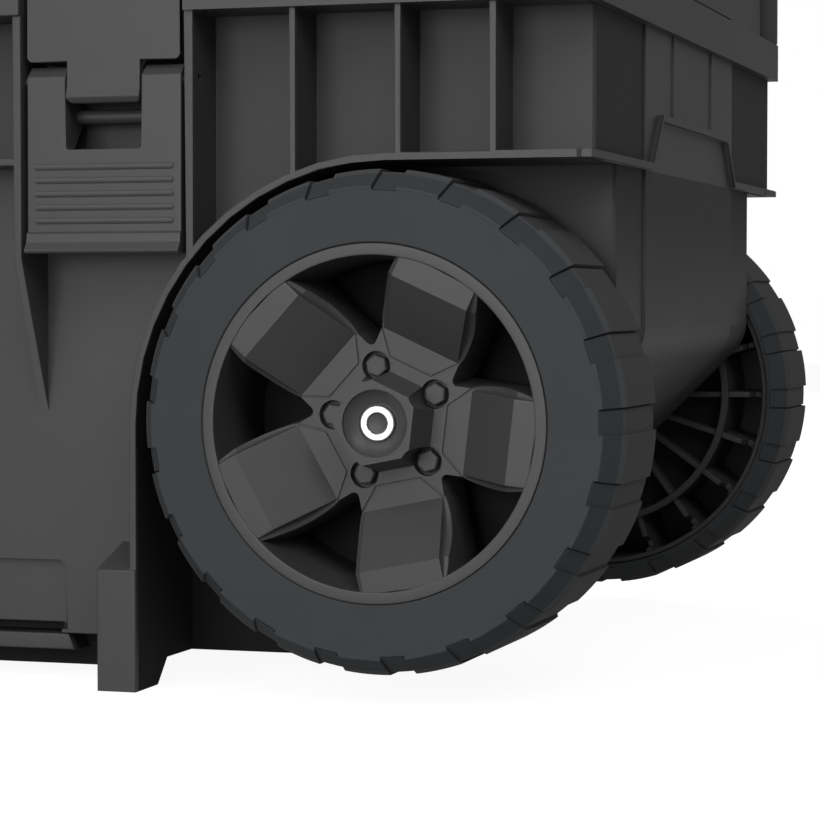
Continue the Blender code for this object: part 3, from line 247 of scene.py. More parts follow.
finishes = {
    "charcoal_plastic": mouldedPlastic("charcoalPlastic", charcoalLook),
    "graphite_plastic": mouldedPlastic("graphitePlastic", graphiteLook),
    "tyre_rubber": tyreRubber("tyreRubber", tyreLook),
    "seal_rubber": sealRubber("sealRubber"),
    "bright_steel": brushedMetal("brightSteel", (0.86, 0.86, 0.87), (0.95, 0.95, 0.95), 0.28, (900, 40, 900)),
    "zinc_steel": brushedMetal("zincSteel", (0.46, 0.47, 0.48), (0.60, 0.60, 0.60), 0.40, (300, 60, 300)),
    "aluminium_tube": brushedMetal("aluminiumTube", (0.58, 0.59, 0.60), (0.68, 0.68, 0.69), 0.34,
                                   (25, 900, 900)),
}
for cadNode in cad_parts.values():
    for spot in cadNode.material_slots:
        key = spot.material.name.split(".")[0] if spot.material else ""
        if key in finishes:
            spot.material = finishes[key]
print("finishes made")


# Mesh helpers


axisOrder = {"X": lambda u, v, w: (w, u, v), "Y": lambda u, v, w: (u, w, v), "Z": lambda u, v, w: (u, v, w)}


def prism(axis, outline, start, end):
    bm = bmesh.new()
    order = axisOrder[axis]
    low, high = ([bm.verts.new(order(u, v, w)) for u, v in outline] for w in (start, end))
    bm.faces.new(low)
    bm.faces.new(high[::-1])
    for i, corner in enumerate(low):
        j = (i + 1) % len(low)
        bm.faces.new((corner, high[i], high[j], low[j]))
    bmesh.ops.recalc_face_normals(bm, faces=bm.faces)
    return bm


def rounded(points, steps=5):
    # corners given as (u, v, radius)
    outline = []
    for i, (u, v, radius) in enumerate(points):
        here = Vector((u, v))
        before, after = (Vector(points[k][:2]) - here for k in (i - 1, (i + 1) % len(points)))
        if radius <= 0:
            outline.append((u, v))
            continue
        before.normalize()
        after.normalize()
        half = before.angle(after) / 2
        centre = here + (before + after).normalized() * radius / sin(half)
        reach = radius / tan(half)
        first, last = here + before * reach, here + after * reach
        a, b = (atan2(p.y - centre.y, p.x - centre.x) for p in (first, last))
        sweep = (b - a + pi) % (2 * pi) - pi
        turns = [a + sweep * k / steps for k in range(steps + 1)]
        outline += [(centre.x + radius * cos(turn), centre.y + radius * sin(turn)) for turn in turns]
    return outline


def loft(rows):
    # closed loops of points joined into one closed skin
    bm = bmesh.new()
    rings = [[bm.verts.new(p) for p in row] for row in rows]
    for low, high in zip(rings, rings[1:]):
        for i in range(len(low)):
            j = (i + 1) % len(low)
            bm.faces.new((low[i], low[j], high[j], high[i]))
    bm.faces.new(rings[0][::-1])
    bm.faces.new(rings[-1])
    bmesh.ops.recalc_face_normals(bm, faces=bm.faces)
    return bm


def lathe(profile, steps):
    # a closed (radius, height) outline turned about Z
    bm = bmesh.new()
    rings = []
    for k in range(steps):
        a = 2 * pi * k / steps
        rings.append([bm.verts.new((r * cos(a), r * sin(a), z)) for r, z in profile])
    for k, ring in enumerate(rings):
        after = rings[(k + 1) % steps]
        for i in range(len(profile)):
            j = (i + 1) % len(profile)
            bm.faces.new((ring[i], ring[j], after[j], after[i]))
    bmesh.ops.remove_doubles(bm, verts=bm.verts, dist=0.001 * mm)
    bmesh.ops.delete(bm, geom=[e for e in bm.edges if not e.link_faces], context="EDGES")
    bmesh.ops.recalc_face_normals(bm, faces=bm.faces)
    return bm


def meshOf(bm, name="shape"):
    mesh = bpy.data.meshes.new(name)
    bm.to_mesh(mesh)
    bm.free()
    return mesh


def evaluated(piece):
    # modifiers settled into a plain mesh, the helper object removed
    mesh = bpy.data.meshes.new_from_object(piece.evaluated_get(bpy.context.evaluated_depsgraph_get()))
    bpy.data.objects.remove(piece)
    return mesh


def helper(mesh):
    piece = bpy.data.objects.new("helper", mesh)
    scene.collection.objects.link(piece)
    return piece


def carve(base, steps):
    # each step is an operation (UNION, DIFFERENCE or INTERSECT) and a bmesh
    body = helper(meshOf(base))
    tools = []
    for operation, shape in steps:
        tool = helper(meshOf(shape))
        change = body.modifiers.new(operation, "BOOLEAN")
        change.operation, change.solver, change.object = operation, "EXACT", tool
        tools.append(tool)
    mesh = evaluated(body)
    for tool in tools:
        bpy.data.objects.remove(tool)
    bm = bmesh.new()
    bm.from_mesh(mesh)
    return bm


def crossings(face):
    # places where a face's outline runs through itself
    axes = sorted(range(3), key=lambda i: abs(face.normal[i]))[:2]
    spots = [Vector((v.co[axes[0]], v.co[axes[1]])) for v in face.verts]
    count, found = len(spots), []
    for i in range(count):
        a, b = spots[i], spots[(i + 1) % count]
        for j in range(i + 2, count - (i == 0)):
            c, d = spots[j], spots[(j + 1) % count]
            astride = (b - a).cross(c - a) * (b - a).cross(d - a) < 0
            if astride and (d - c).cross(a - c) * (d - c).cross(b - c) < 0:
                found += [face.verts[k % count].co.copy() for k in (i, i + 1, j, j + 1)]
    return found


# flat is in degrees, shortest and clear are in widths of the bevel
softening = {"merge": 0.02 * mm, "flat": 0.6, "tries": 8, "shortest": 2.5, "clear": 4}


def roundOff(bm, chosen, width, segments, **how):
    bmesh.ops.bevel(bm, geom=chosen, offset=width, offset_type="OFFSET", segments=segments, profile=0.5,
                    affect="EDGES", **how)


def soften(bm, width, segments=2, angle=25, edgeRules=()):
    # merges a faceted body, rounds chosen edges, then breaks every sharp edge that has room for it
    merge, shortest, clear = softening["merge"], softening["shortest"] * width, softening["clear"] * width
    bmesh.ops.remove_doubles(bm, verts=bm.verts, dist=merge)
    bmesh.ops.dissolve_limit(bm, angle_limit=radians(softening["flat"]), verts=bm.verts, edges=bm.edges)
    bmesh.ops.dissolve_degenerate(bm, dist=merge, edges=bm.edges)
    for rule, ruleWidth, ruleSegments in edgeRules:
        chosen = [e for e in bm.edges if len(e.link_faces) == 2 and rule(*(v.co for v in e.verts))]
        roundOff(bm, chosen, ruleWidth, ruleSegments, clamp_overlap=True)
    crowded = []
    for attempt in range(softening["tries"]):
        trial = bm.copy()
        sharp = [e for e in trial.edges if len(e.link_faces) == 2 and e.calc_face_angle(0) > radians(angle)
                 and e.calc_length() > shortest
                 and not any((v.co - spot).length < clear for spot in crowded for v in e.verts)]
        roundOff(trial, sharp, width, segments, clamp_overlap=False, loop_slide=True)
        trial.normal_update()
        clashes = [spot for face in trial.faces if len(face.verts) > 3 for spot in crossings(face)]
        if not clashes:
            break
        crowded += clashes
        if attempt < softening["tries"] - 1:
            trial.free()
    bm.free()
    return trial


def nodeCopy(node):
    bm = bmesh.new()
    bm.from_mesh(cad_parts[node].data)
    return bm


def joined(shapes):
    whole = bmesh.new()
    for shape in shapes:
        mesh = shape if isinstance(shape, bpy.types.Mesh) else meshOf(shape)
        whole.from_mesh(mesh)
        bpy.data.meshes.remove(mesh)
    return whole


creaseAngle = radians(32)


def finishPiece(name, bm, slot, body, *nodes, place=None):
    if place:
        bmesh.ops.transform(bm, matrix=place, verts=bm.verts)
    mesh = meshOf(bm, name)
    mesh.materials.clear()
    mesh.materials.append(finishes[slot])
    for face in mesh.polygons:
        face.use_smooth, face.material_index = True, 0
    mesh.set_sharp_from_angle(angle=creaseAngle)
    shaded = helper(mesh)
    even = shaded.modifiers.new("even", "WEIGHTED_NORMAL")
    even.keep_sharp = True
    settled = evaluated(shaded)
    settled.name = name
    piece = bpy.data.objects.new(name, settled)
    scene.collection.objects.link(piece)
    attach(piece, body)
    if nodes:
        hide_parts(*nodes)


# One node tree repeats a shape in a row or round an axis


def repeatTree():
    tree = bpy.data.node_groups.new("repeatShape", "GeometryNodeTree")
    tree.interface.new_socket("Geometry", in_out="OUTPUT", socket_type="NodeSocketGeometry")
    inputs = {}
    for name, kind in (("Shape", "Geometry"), ("Count", "Int"), ("Step", "Vector"), ("Turn", "Float"),
                       ("Start", "Float"), ("Finish", "Material")):
        made = tree.interface.new_socket(name, in_out="INPUT", socket_type="NodeSocket" + kind)
        inputs[name] = made.identifier
    source, target = tree.nodes.new("NodeGroupInput"), tree.nodes.new("NodeGroupOutput")

    def add(kind, links, **settings):
        made = tree.nodes.new(kind)
        for key, value in settings.items():
            setattr(made, key, value)
        for socket, link in links.items():
            tree.links.new(link, made.inputs[socket])
        return made

    given = source.outputs
    row = add("GeometryNodeMeshLine", {"Count": given["Count"], "Offset": given["Step"]}, mode="OFFSET")
    index = add("GeometryNodeInputIndex", {})
    angle = add("ShaderNodeMath", {0: index.outputs[0], 1: given["Turn"], 2: given["Start"]},
                operation="MULTIPLY_ADD")
    turn = add("ShaderNodeCombineXYZ", {"Z": angle.outputs[0]})
    spread = add("GeometryNodeInstanceOnPoints", {"Points": row.outputs[0], "Instance": given["Shape"],
                                                  "Rotation": turn.outputs[0]})
    real = add("GeometryNodeRealizeInstances", {"Geometry": spread.outputs[0]})
    painted = add("GeometryNodeSetMaterial", {"Geometry": real.outputs[0], "Material": given["Finish"]})
    tree.links.new(painted.outputs[0], target.inputs[0])
    return tree, inputs


rowTree, rowInputs = repeatTree()


def repeated(bm, slot, count, step=(0, 0, 0), turn=0.0, start=0.0):
    piece = helper(meshOf(bm))
    change = piece.modifiers.new("repeat", "NODES")
    change.node_group = rowTree
    values = {"Count": count, "Step": step, "Turn": turn, "Start": start, "Finish": finishes[slot]}
    for name, value in values.items():
        change[rowInputs[name]] = value
    return evaluated(piece)


# Wheels, modelled about Z with the outer side up and the rim lip at zero, angles in degrees


wheel = {"rim": 82 * mm, "lip": 5.5 * mm, "lipEdge": 0.7 * mm, "inner": 83 * mm,
         "barrel": 4.2 * mm, "barrelShort": 3 * mm,
         "taper": 1.6 * mm, "taperFrom": 30 * mm, "taperTo": 40 * mm,
         "drum": 103.5 * mm, "drumWall": 3 * mm, "drumFrom": 20.3 * mm,
         "spokes": 5, "firstSpoke": -6.5, "spokeHalf": 19.5 * mm, "flangeHalf": 24 * mm,
         "spokeFrom": 30 * mm, "spokeBack": 46 * mm, "spokeSunk": 1.2 * mm, "underPlate": 1.5 * mm,
         "panelFrom": 38.8 * mm, "panelTo": 65.2 * mm, "panelEdge": 0.35 * mm, "panelRows": 9,
         "bandBack": 0.5 * mm, "bandStops": (68 * mm, 71 * mm, 73.5 * mm),
         "scoopTo": 74.5 * mm, "scoopWide": 2.6 * mm, "scoopDeep": 5.5 * mm, "scoopRows": 6,
         "plateBack": 24 * mm, "plateThick": 13 * mm,
         "starHalf": 20.4 * mm, "starReach": 44 * mm, "starRound": 2.5 * mm,
         "bossTop": 5 * mm, "bossHalf": 17.7 * mm, "bossFoot": 21.8 * mm,
         "bowl": 15.8 * mm, "bowlDeep": 9 * mm, "bowlFloor": 13.2 * mm,
         "throat": 9.2 * mm, "throatUp": 3.25 * mm, "throatThick": 0.4 * mm,
         "nutCircle": 26.4 * mm, "nut": 5.4 * mm, "nutProud": 0.6 * mm, "nutTall": 5.8 * mm,
         "nutBore": 6.8 * mm, "nutDeep": 5 * mm,
         "shield": ((39.6 * mm, 20.7 * mm), (28.2 * mm, 10.9 * mm)),
         "groove": 0.8 * mm, "grooveDeep": 0.9 * mm,
         "ribs": 20, "ribHalf": 1.6 * mm, "ribShort": 6 * mm, "ribDip": 14 * mm,
         "hub": 27 * mm, "hubUnder": 8 * mm, "web": 63 * mm, "webThick": 3 * mm}


def ringOutline(look):
    # lip, barrel and the outer drum under the tread
    r, lip, wall, edge = look["rim"], look["lip"], look["barrel"], look["lipEdge"]
    seat, inner, step = r - lip / 2, -look["inner"], -look["drumFrom"]
    drum, thin, end = look["drum"], look["drumWall"], inner + look["barrelShort"]
    soft, fine, under = 0.6 * mm, 0.5 * mm, 0.3 * mm - lip
    lipSide = [(r, -edge), (r - 0.3 * edge, -0.3 * edge), (r - edge, 0), (r - lip + edge, 0),
               (r - lip + 0.3 * edge, -0.3 * edge), (r - lip, -edge)]
    barrel = [(r - lip - look["taper"], -look["taperFrom"]), (seat - wall, -look["taperTo"]),
              (seat - wall, end + soft), (seat - wall + soft, end), (seat - soft, end), (seat, end + soft)]
    drumSide = [(seat, step - thin), (drum - thin, step - thin), (drum - thin, inner + fine),
                (drum - thin + fine, inner), (drum - fine, inner), (drum, inner + fine), (drum, step),
                (seat, step)]
    return lipSide + barrel + drumSide + [(seat, under), (r, under)]


def shareOf(x, start, end):
    return min(max((x - start) / (end - start), 0), 1)


def spokeShape(look):
    # flat band at the lip, panel falling to the plate, scooped sides that end in a ridge above the windows
    half, foot, reach = look["spokeHalf"], look["flangeHalf"], look["rim"] - look["lip"] + look["spokeSunk"]
    start, end, soft, count = look["panelFrom"], look["panelTo"], look["panelEdge"], look["panelRows"]
    plate, band = -look["plateBack"] - 0.05 * mm, look["plateBack"] - look["bandBack"]
    stops = [look["spokeFrom"], start - 0.4 * mm, start, start + soft]
    stops += [start + (end - start) * k / count for k in range(1, count)]
    stops += [end - soft, end, end + soft, *look["bandStops"], None]
    rows = []
    for stop in stops:
        x = stop or reach
        top = plate + shareOf(x, start, end) * band - (look["underPlate"] if x < start else 0)
        swell = sin(pi * shareOf(x, start, look["scoopTo"]))
        ridge = (half + 0.5 * mm + look["scoopWide"] * swell ** 0.7,
                 top - 0.7 * mm - look["scoopDeep"] * swell)
        brink = (half, top - soft)
        bend = (half + 0.15 * mm, brink[1] + 0.92 * (ridge[1] - brink[1]))
        side = [(half * k / 10, top) for k in range(10)]
        side += [(half - soft, top), (half - 0.3 * soft, top - 0.3 * soft), brink]
        for k in range(1, look["scoopRows"] + 1):
            u = k / look["scoopRows"]
            side.append(tuple((1 - u) ** 2 * p + 2 * u * (1 - u) * q + u * u * r
                              for p, q, r in zip(brink, bend, ridge)))
        side += [(ridge[0] + 0.4 * mm, ridge[1] - 0.15 * mm), (ridge[0] + 0.7 * mm, ridge[1] - 0.7 * mm),
                 (max(foot, ridge[0] + 0.9 * mm), -look["spokeBack"])]
        loop = [(-t, z) for t, z in side[:0:-1]] + side
        if stop:
            rows.append([(x, t, z) for t, z in loop])
        else:  # the last row follows the lip round
            rows.append([(sqrt(reach ** 2 - min(t * t, 0.9 * reach ** 2)), t, z) for t, z in loop])
    return loft(rows)


def hubShape(look):
    # star plate with shield-shaped grooves, pentagon boss, bowl for the axle end and five nut bores
    back, first, step = look["plateBack"], radians(look["firstSpoke"]), 2 * pi / look["spokes"]
    betweens = [first + step * (k + 0.5) for k in range(look["spokes"])]
    star, wide = [], look["starHalf"]
    corner = wide / sin(step / 2)
    for k, between in enumerate(betweens):
        turn = Matrix.Rotation(first + step * k, 2)
        for t in (-wide, wide):
            star.append((*(turn @ Vector((look["starReach"], t))), 0))
        star.append((corner * cos(between), corner * sin(between), look["starRound"]))
    plate = prism("Z", rounded(star, 6), -back - look["plateThick"], -back)

    def pentagon(apothem, z):
        r = apothem / cos(step / 2)
        return [(r * cos(between), r * sin(between), z) for between in betweens]

    boss = loft([pentagon(look["bossFoot"] + 0.2 * mm, -back - 0.5 * mm),
                 pentagon(look["bossHalf"], -look["bossTop"])])
    deep, above = look["bossTop"] + look["bowlDeep"], 1 * mm
    floor, throat, bowl, lip = look["bowlFloor"], look["throat"], look["bowl"], look["throatUp"] - deep
    under = lip - look["throatThick"]
    cuts = [lathe([(0, -deep), (floor, -deep), (floor, under), (throat, under), (throat, lip),
                   (11.5 * mm, lip + 0.7 * mm), (13.9 * mm, lip + 2.2 * mm),
                   (bowl - 0.4 * mm, lip + 4.3 * mm), (bowl, above), (0, above)], 72)]
    half = look["groove"] / 2
    shield = [*look["shield"], *((x, -y) for x, y in look["shield"][::-1])]

    def shifted(by):
        return [(x + by, y - 0.8 * (by if y > 0 else -by)) for x, y in shield]

    outline = shifted(-half) + shifted(half)[::-1]
    nutBore, nutEnd = look["nutBore"], -back - look["nutDeep"]
    for k, between in enumerate(betweens):
        bore = lathe([(0, nutEnd), (nutBore, nutEnd), (nutBore, above), (0, above)], 40)
        spot = Matrix.Translation((look["nutCircle"] * cos(between), look["nutCircle"] * sin(between), 0))
        bmesh.ops.transform(bore, matrix=spot, verts=bore.verts)
        groove = prism("Z", outline, -back - look["grooveDeep"], -back + 0.6 * mm)
        bmesh.ops.transform(groove, matrix=Matrix.Rotation(first + step * k, 4, "Z"), verts=groove.verts)
        cuts += [bore, groove]
    bm = carve(plate, [("UNION", boss)] + [("DIFFERENCE", cut) for cut in cuts])
    return soften(bm, 0.2 * mm, 2, 30)


def nutShape(look):
    # hexagon head with a domed chamfer
    top = look["nutProud"] - look["plateBack"]
    rows = []
    for z, share in ((top - look["nutTall"], 1), (top - 1.0 * mm, 1), (top - 0.35 * mm, 0.95), (top, 0.84)):
        r = look["nut"] * share
        rows.append([(look["nutCircle"] + r * cos(pi / 3 * k), r * sin(pi / 3 * k), z) for k in range(6)])
    return soften(loft(rows), 0.18 * mm, 2, 40)


def ribShape(look):
    # radial rib on the inner side: level inside the barrel, dipped before the drum, with a stub on the drum
    inner, root, hub = look["inner"], -look["web"] - 1 * mm, look["hub"] - 1 * mm
    seat, edge = look["rim"] - look["lip"] / 2 - 2 * mm, look["ribShort"] - inner
    drum, floor = look["drum"] - look["drumWall"], look["ribDip"] - inner
    behind, wide = -look["drumFrom"] - look["drumWall"] / 2, look["ribHalf"]
    within = [(hub, root), (seat, root), (seat, edge), (hub, edge)]
    beyond = [(seat, behind), (drum + 1.5 * mm, behind), (drum + 1.5 * mm, 4 * mm - inner),
              (drum - 2 * mm, 4.6 * mm - inner), (drum - 2.6 * mm, floor), (drum - 6 * mm, floor),
              (drum - 9 * mm, edge), (seat, edge)]
    return joined([soften(prism("Y", side, -wide, wide), 0.5 * mm, 2, 30) for side in (within, beyond)])


def wheelPiece(label, spinBody):
    low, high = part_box("rim_" + label)
    front = label == "front"
    centre = Vector(((low.x + high.x) / 2, low.y if front else high.y, (low.z + high.z) / 2))
    place = Matrix.Translation(centre) @ Matrix.Rotation(pi / 2 if front else -pi / 2, 4, "X")
    first, step = radians(wheel["firstSpoke"]), 2 * pi / wheel["spokes"]
    spacer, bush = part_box("hub_spacer_" + label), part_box("hub_bush_" + label)
    hub, start, soft = wheel["hub"], -wheel["plateBack"] - wheel["hubUnder"], 0.6 * mm
    end = max(abs(spacer[0].y), abs(spacer[1].y)) + 0.3 * mm - abs(centre.y)
    bore = (bush[1].x - bush[0].x) / 2 + 0.15 * mm
    hubRod = lathe([(bore, start), (hub, start), (hub, end + soft), (hub - soft, end), (bore, end)], 72)
    seat, inside = wheel["rim"] - wheel["lip"] / 2 - wheel["barrel"] + 1 * mm, hub - 1 * mm
    webTop, webBack = -wheel["web"], -wheel["web"] - wheel["webThick"]
    web = lathe([(inside, webTop), (seat, webTop), (seat, webBack), (inside, webBack)], 96)
    slot = "graphite_plastic"
    rim = joined([lathe(ringOutline(wheel), 160), hubRod, web, hubShape(wheel),
                  repeated(spokeShape(wheel), slot, wheel["spokes"], turn=step, start=first),
                  repeated(nutShape(wheel), slot, wheel["spokes"], turn=step, start=first + step / 2),
                  repeated(ribShape(wheel), slot, wheel["ribs"], turn=2 * pi / wheel["ribs"])])
    finishPiece("rimMoulding." + label, rim, slot, spinBody, "rim_" + label, place=place)
    return place


tyre = {"radius": 116 * mm, "width": 87 * mm, "shoulder": 14.5 * mm, "edge": 0.5 * mm,
        "bead": 82.25 * mm, "beadDeep": 5.5 * mm, "beadThick": 2.7 * mm, "side": 20 * mm, "drum": 103.8 * mm,
        "flat": 107.6 * mm, "shortFlat": 106.2 * mm, "step": 1.5 * mm, "sunk": 2.8 * mm,
        "pitches": 21, "first": 38.3, "short": 0.35, "sipe": 0.9 * mm}


def lugShape(look, flat, radius, fromAngle, toAngle, cuts):
    depth, width, edge = look["shoulder"], look["width"], look["edge"]
    lift = edge * 0.75
    root = look["shortFlat"] - 0.2 * mm
    side = [(root, 0), (flat - edge, 0), (flat + 0.2 * edge, -0.25 * edge), (flat + lift, -edge),
            (radius - lift, -depth + edge), (radius - 0.1 * edge, -depth - 0.3 * edge),
            (radius, -depth - 1.6 * edge)]
    section = side + [(r, -width - z) for r, z in side[::-1]]
    section += [(root - 2 * mm, -width + 1.2 * mm), (root - 2 * mm, -1.2 * mm)]
    rows = []
    for k in range(cuts + 1):
        a = fromAngle + (toAngle - fromAngle) * k / cuts
        rows.append([(r * cos(a), r * sin(a), z) for r, z in section])
    return soften(loft(rows), 0.25 * mm, 1, 40)


def tyrePiece(label, spinBody, place):
    pitch, first = 2 * pi / tyre["pitches"], radians(tyre["first"])
    gap = tyre["sipe"] / tyre["radius"] / 2
    bead, width, depth, edge = tyre["bead"], tyre["width"], tyre["shoulder"], tyre["edge"]
    drum, side, low = tyre["drum"], -tyre["side"], -tyre["beadDeep"]
    floor, under = tyre["radius"] - tyre["sunk"], bead - tyre["beadThick"]
    wall, knee = tyre["shortFlat"] - 0.2 * mm, tyre["shortFlat"] - 0.3 * mm
    carcass = [(under, low), (bead, low), (bead, -edge), (bead + edge, 0), (wall, 0), (knee, -1.6 * mm),
               (floor, -depth), (floor, depth - width), (knee, 1.6 * mm - width), (wall, -width),
               (drum + edge, -width), (drum, edge - width), (drum, side), (under, side)]
    split = -tyre["short"] * pitch
    shortLug = lugShape(tyre, tyre["shortFlat"], tyre["radius"] - tyre["step"], split, -gap, 3)
    longLug = lugShape(tyre, tyre["flat"], tyre["radius"], -pitch + gap, split, 5)
    slot = "tyre_rubber"
    lugs = [repeated(lug, slot, tyre["pitches"], turn=pitch, start=first) for lug in (shortLug, longLug)]
    whole = joined([lathe(carcass, 168)] + lugs)
    finishPiece("tyreTread." + label, whole, slot, spinBody, "tyre_" + label, place=place)


for label in ("front", "rear"):
    tyrePiece(label, "wheel_" + label, wheelPiece(label, "wheel_" + label))
print("wheels made")


# Axle: a drawn bar with chamfered, drilled ends


axle = {"centre": 4.9 * mm, "centreEdge": 0.3 * mm, "drill": 3.5 * mm, "chamfer": 0.5 * mm}


def axlePiece():
    low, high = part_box("axle")
    radius, half = (high.x - low.x) / 2, (high.y - low.y) / 2
    centre, edge, chamfer, floor = axle["centre"], axle["centreEdge"], axle["chamfer"], half - axle["drill"]
    end = [(centre, floor), (centre, half - edge), (centre + edge, half), (radius - chamfer, half),
           (radius, half - chamfer)]
    bar = lathe([(0, floor)] + end + [(r, -z) for r, z in end[::-1]] + [(0, -floor)], 72)
    place = Matrix.Translation((low + high) / 2) @ Matrix.Rotation(pi / 2, 4, "X")
    finishPiece("axleBar", bar, "bright_steel", "base", "axle", place=place)
    plug, under = centre - 0.1 * mm, floor - 0.5 * mm
    for label in ("rear", "front"):
        dish = lathe([(0, floor + 1.2 * mm), (plug, floor + 2.2 * mm), (plug, under), (0, under)], 48)
        if label == "rear":
            bmesh.ops.rotate(dish, cent=(0, 0, 0), matrix=Matrix.Rotation(pi, 3, "X"), verts=dish.verts)
        finishPiece("axleCentre." + label, dish, "graphite_plastic", "base", place=place)


axlePiece()


# Tub and lid keep the frame's form, with broken edges and slanted ends on the low rails


edges = {"tub": 0.7 * mm, "lid": 0.7 * mm, "grip": 0.8 * mm, "button": 0.4 * mm, "gasket": 0.5 * mm,
         "end": 1.2 * mm, "endFrom": 393 * mm, "foot": 2.2 * mm, "footTop": 60 * mm, "footFrom": 236 * mm,
         "bracket": 4 * mm, "bracketFrom": 200 * mm, "tongue": 3.2 * mm, "tongueHalf": 9 * mm}
recess = {"half": 130 * mm, "top": 59 * mm, "walls": (200 * mm, 211 * mm), "corner": 4 * mm, "edge": 2 * mm}
rail = {"start": 118 * mm, "top": (130.5 * mm, 22.7 * mm), "low": (134 * mm, 15 * mm),
        "walls": (190 * mm, 212.7 * mm)}
smallPieces = (("pullGrip", "pull_grip", "grip", "graphite_plastic", "pull_handle"),
               ("releaseButton", "release_button", "button", "charcoal_plastic", "release_button"),
               ("lidGasket", "lid_gasket", "gasket", "seal_rubber", "lid"))


def alongAxis(a, b, axis):
    way = b - a
    return way.length > 1 * mm and abs(way[axis]) > 0.999 * way.length


def tubPiece():
    def atRecessTop(a):
        return abs(a.z - recess["top"]) < 1.5 * mm

    def recessCorner(a, b):
        return alongAxis(a, b, 1) and abs(abs(a.x) - recess["half"]) < 0.5 * mm and atRecessTop(a)

    def recessTop(a, b):
        return alongAxis(a, b, 0) and atRecessTop(a) and recess["walls"][0] < abs(a.y) < recess["walls"][1]

    def endEdge(a, b):
        return alongAxis(a, b, 2) and abs(a.x) > edges["endFrom"]

    def footEdge(a, b):
        return alongAxis(a, b, 2) and max(a.z, b.z) < edges["footTop"] and abs(a.y) > edges["footFrom"]

    rules = [(recessCorner, recess["corner"], 5), (recessTop, recess["edge"], 4), (endEdge, edges["end"], 3),
             (footEdge, edges["foot"], 4)]
    start, (topEnd, top), (lowEnd, low) = rail["start"], rail["top"], rail["low"]
    railEnds = []
    for way in (-1, 1):
        side = [(way * start, top), (way * topEnd, top), (way * lowEnd, low), (way * start, low)]
        for wall in (-1, 1):
            railEnds.append(("UNION", prism("Y", side, *sorted(wall * y for y in rail["walls"]))))
    tub = soften(carve(nodeCopy("base_tub"), railEnds), edges["tub"], edgeRules=rules)
    finishPiece("tubShell", tub, "charcoal_plastic", "base", "base_tub")


def lidPiece():
    low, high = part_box("latch_pin_left")
    pivot, reach = (low + high) / 2, edges["tongueHalf"]

    def bracketCorner(a, b):
        return alongAxis(a, b, 1) and a.y < -edges["bracketFrom"] and abs(a.z - pivot.z - reach) < 1 * mm

    def tongueEdge(a, b):
        return alongAxis(a, b, 0) and abs(a.z - pivot.z + reach) < 0.6 * mm and a.y < pivot.y - 3 * mm

    rules = [(bracketCorner, edges["bracket"], 5), (tongueEdge, edges["tongue"], 5)]
    lid = soften(nodeCopy("lid_shell"), edges["lid"], edgeRules=rules)
    finishPiece("lidShell", lid, "charcoal_plastic", "lid", "lid_shell")


tubPiece()
lidPiece()
for name, node, edge, slot, body in smallPieces:
    finishPiece(name, soften(nodeCopy(node), edges[edge]), slot, body, node)
print("tub and lid made")


# Drawn tubes and pins, turned finer than the frame's


turned = {"pull_tube": {"slot": "aluminium_tube", "body": "pull_handle", "wall": 1.5 * mm},
          "guide_tube": {"slot": "zinc_steel", "body": "base", "wall": 2 * mm},
          "hinge_pin": {"slot": "zinc_steel", "body": "base"},
          "latch_pin": {"slot": "zinc_steel", "body": "base", "sunk": 2.4 * mm}}


def turnedPiece(node, look):
    low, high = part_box(node)
    radius, half, edge = (high.z - low.z) / 2, (high.x - low.x) / 2 - look.get("sunk", 0), 0.4 * mm
    bore = radius - look["wall"] if "wall" in look else 0
    profile = [(bore, -half), (radius - edge, -half), (radius, edge - half), (radius, half - edge),
               (radius - edge, half), (bore, half)]
    place = Matrix.Translation((low + high) / 2) @ Matrix.Rotation(pi / 2, 4, "Y")
    finishPiece("turned." + node, lathe(profile, 64), look["slot"], look["body"], node, place=place)


for kind, look in turned.items():
    for label in ("front", "rear") if kind.endswith("tube") else ("left", "right"):
        turnedPiece(kind + "_" + label, look)
print("tubes and pins made")


# Flap latches


latch = {"thick": 6 * mm, "knuckle": 7 * mm, "facet": 1.7 * mm, "length": 82 * mm, "edge": 0.6 * mm,
         "crease": 71.6 * mm, "step": 1.4 * mm, "flareFrom": 76.6 * mm, "lipOut": 4.6 * mm,
         "window": 19.4 * mm, "windowLow": 32.8 * mm, "windowCorner": 1.6 * mm,
         "cheek": (0.4 * mm, 3.2 * mm), "bar": 3.4 * mm, "barLow": 16.4 * mm, "barDeep": 10 * mm,
         "ribs": 5, "ribFirst": 41.0 * mm, "ribPitch": 6.4 * mm, "ribTall": 3.2 * mm, "ribOut": 0.8 * mm,
         "ribSunk": 0.3 * mm, "ribEnd": 3.8 * mm}
bracket = {"half": 39.2 * mm, "low": 9 * mm, "proud": 0.3 * mm, "thick": 3 * mm, "top": 77.8 * mm,
           "corner": 3 * mm, "edge": 0.5 * mm, "tongue": 18.7 * mm, "root": 15 * mm, "flareFrom": 4.1 * mm,
           "foot": 11 * mm, "flare": 1.6 * mm, "deep": 4.8 * mm}


def pivotOf(label):
    low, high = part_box("latch_pin_" + label)
    return (low + high) / 2


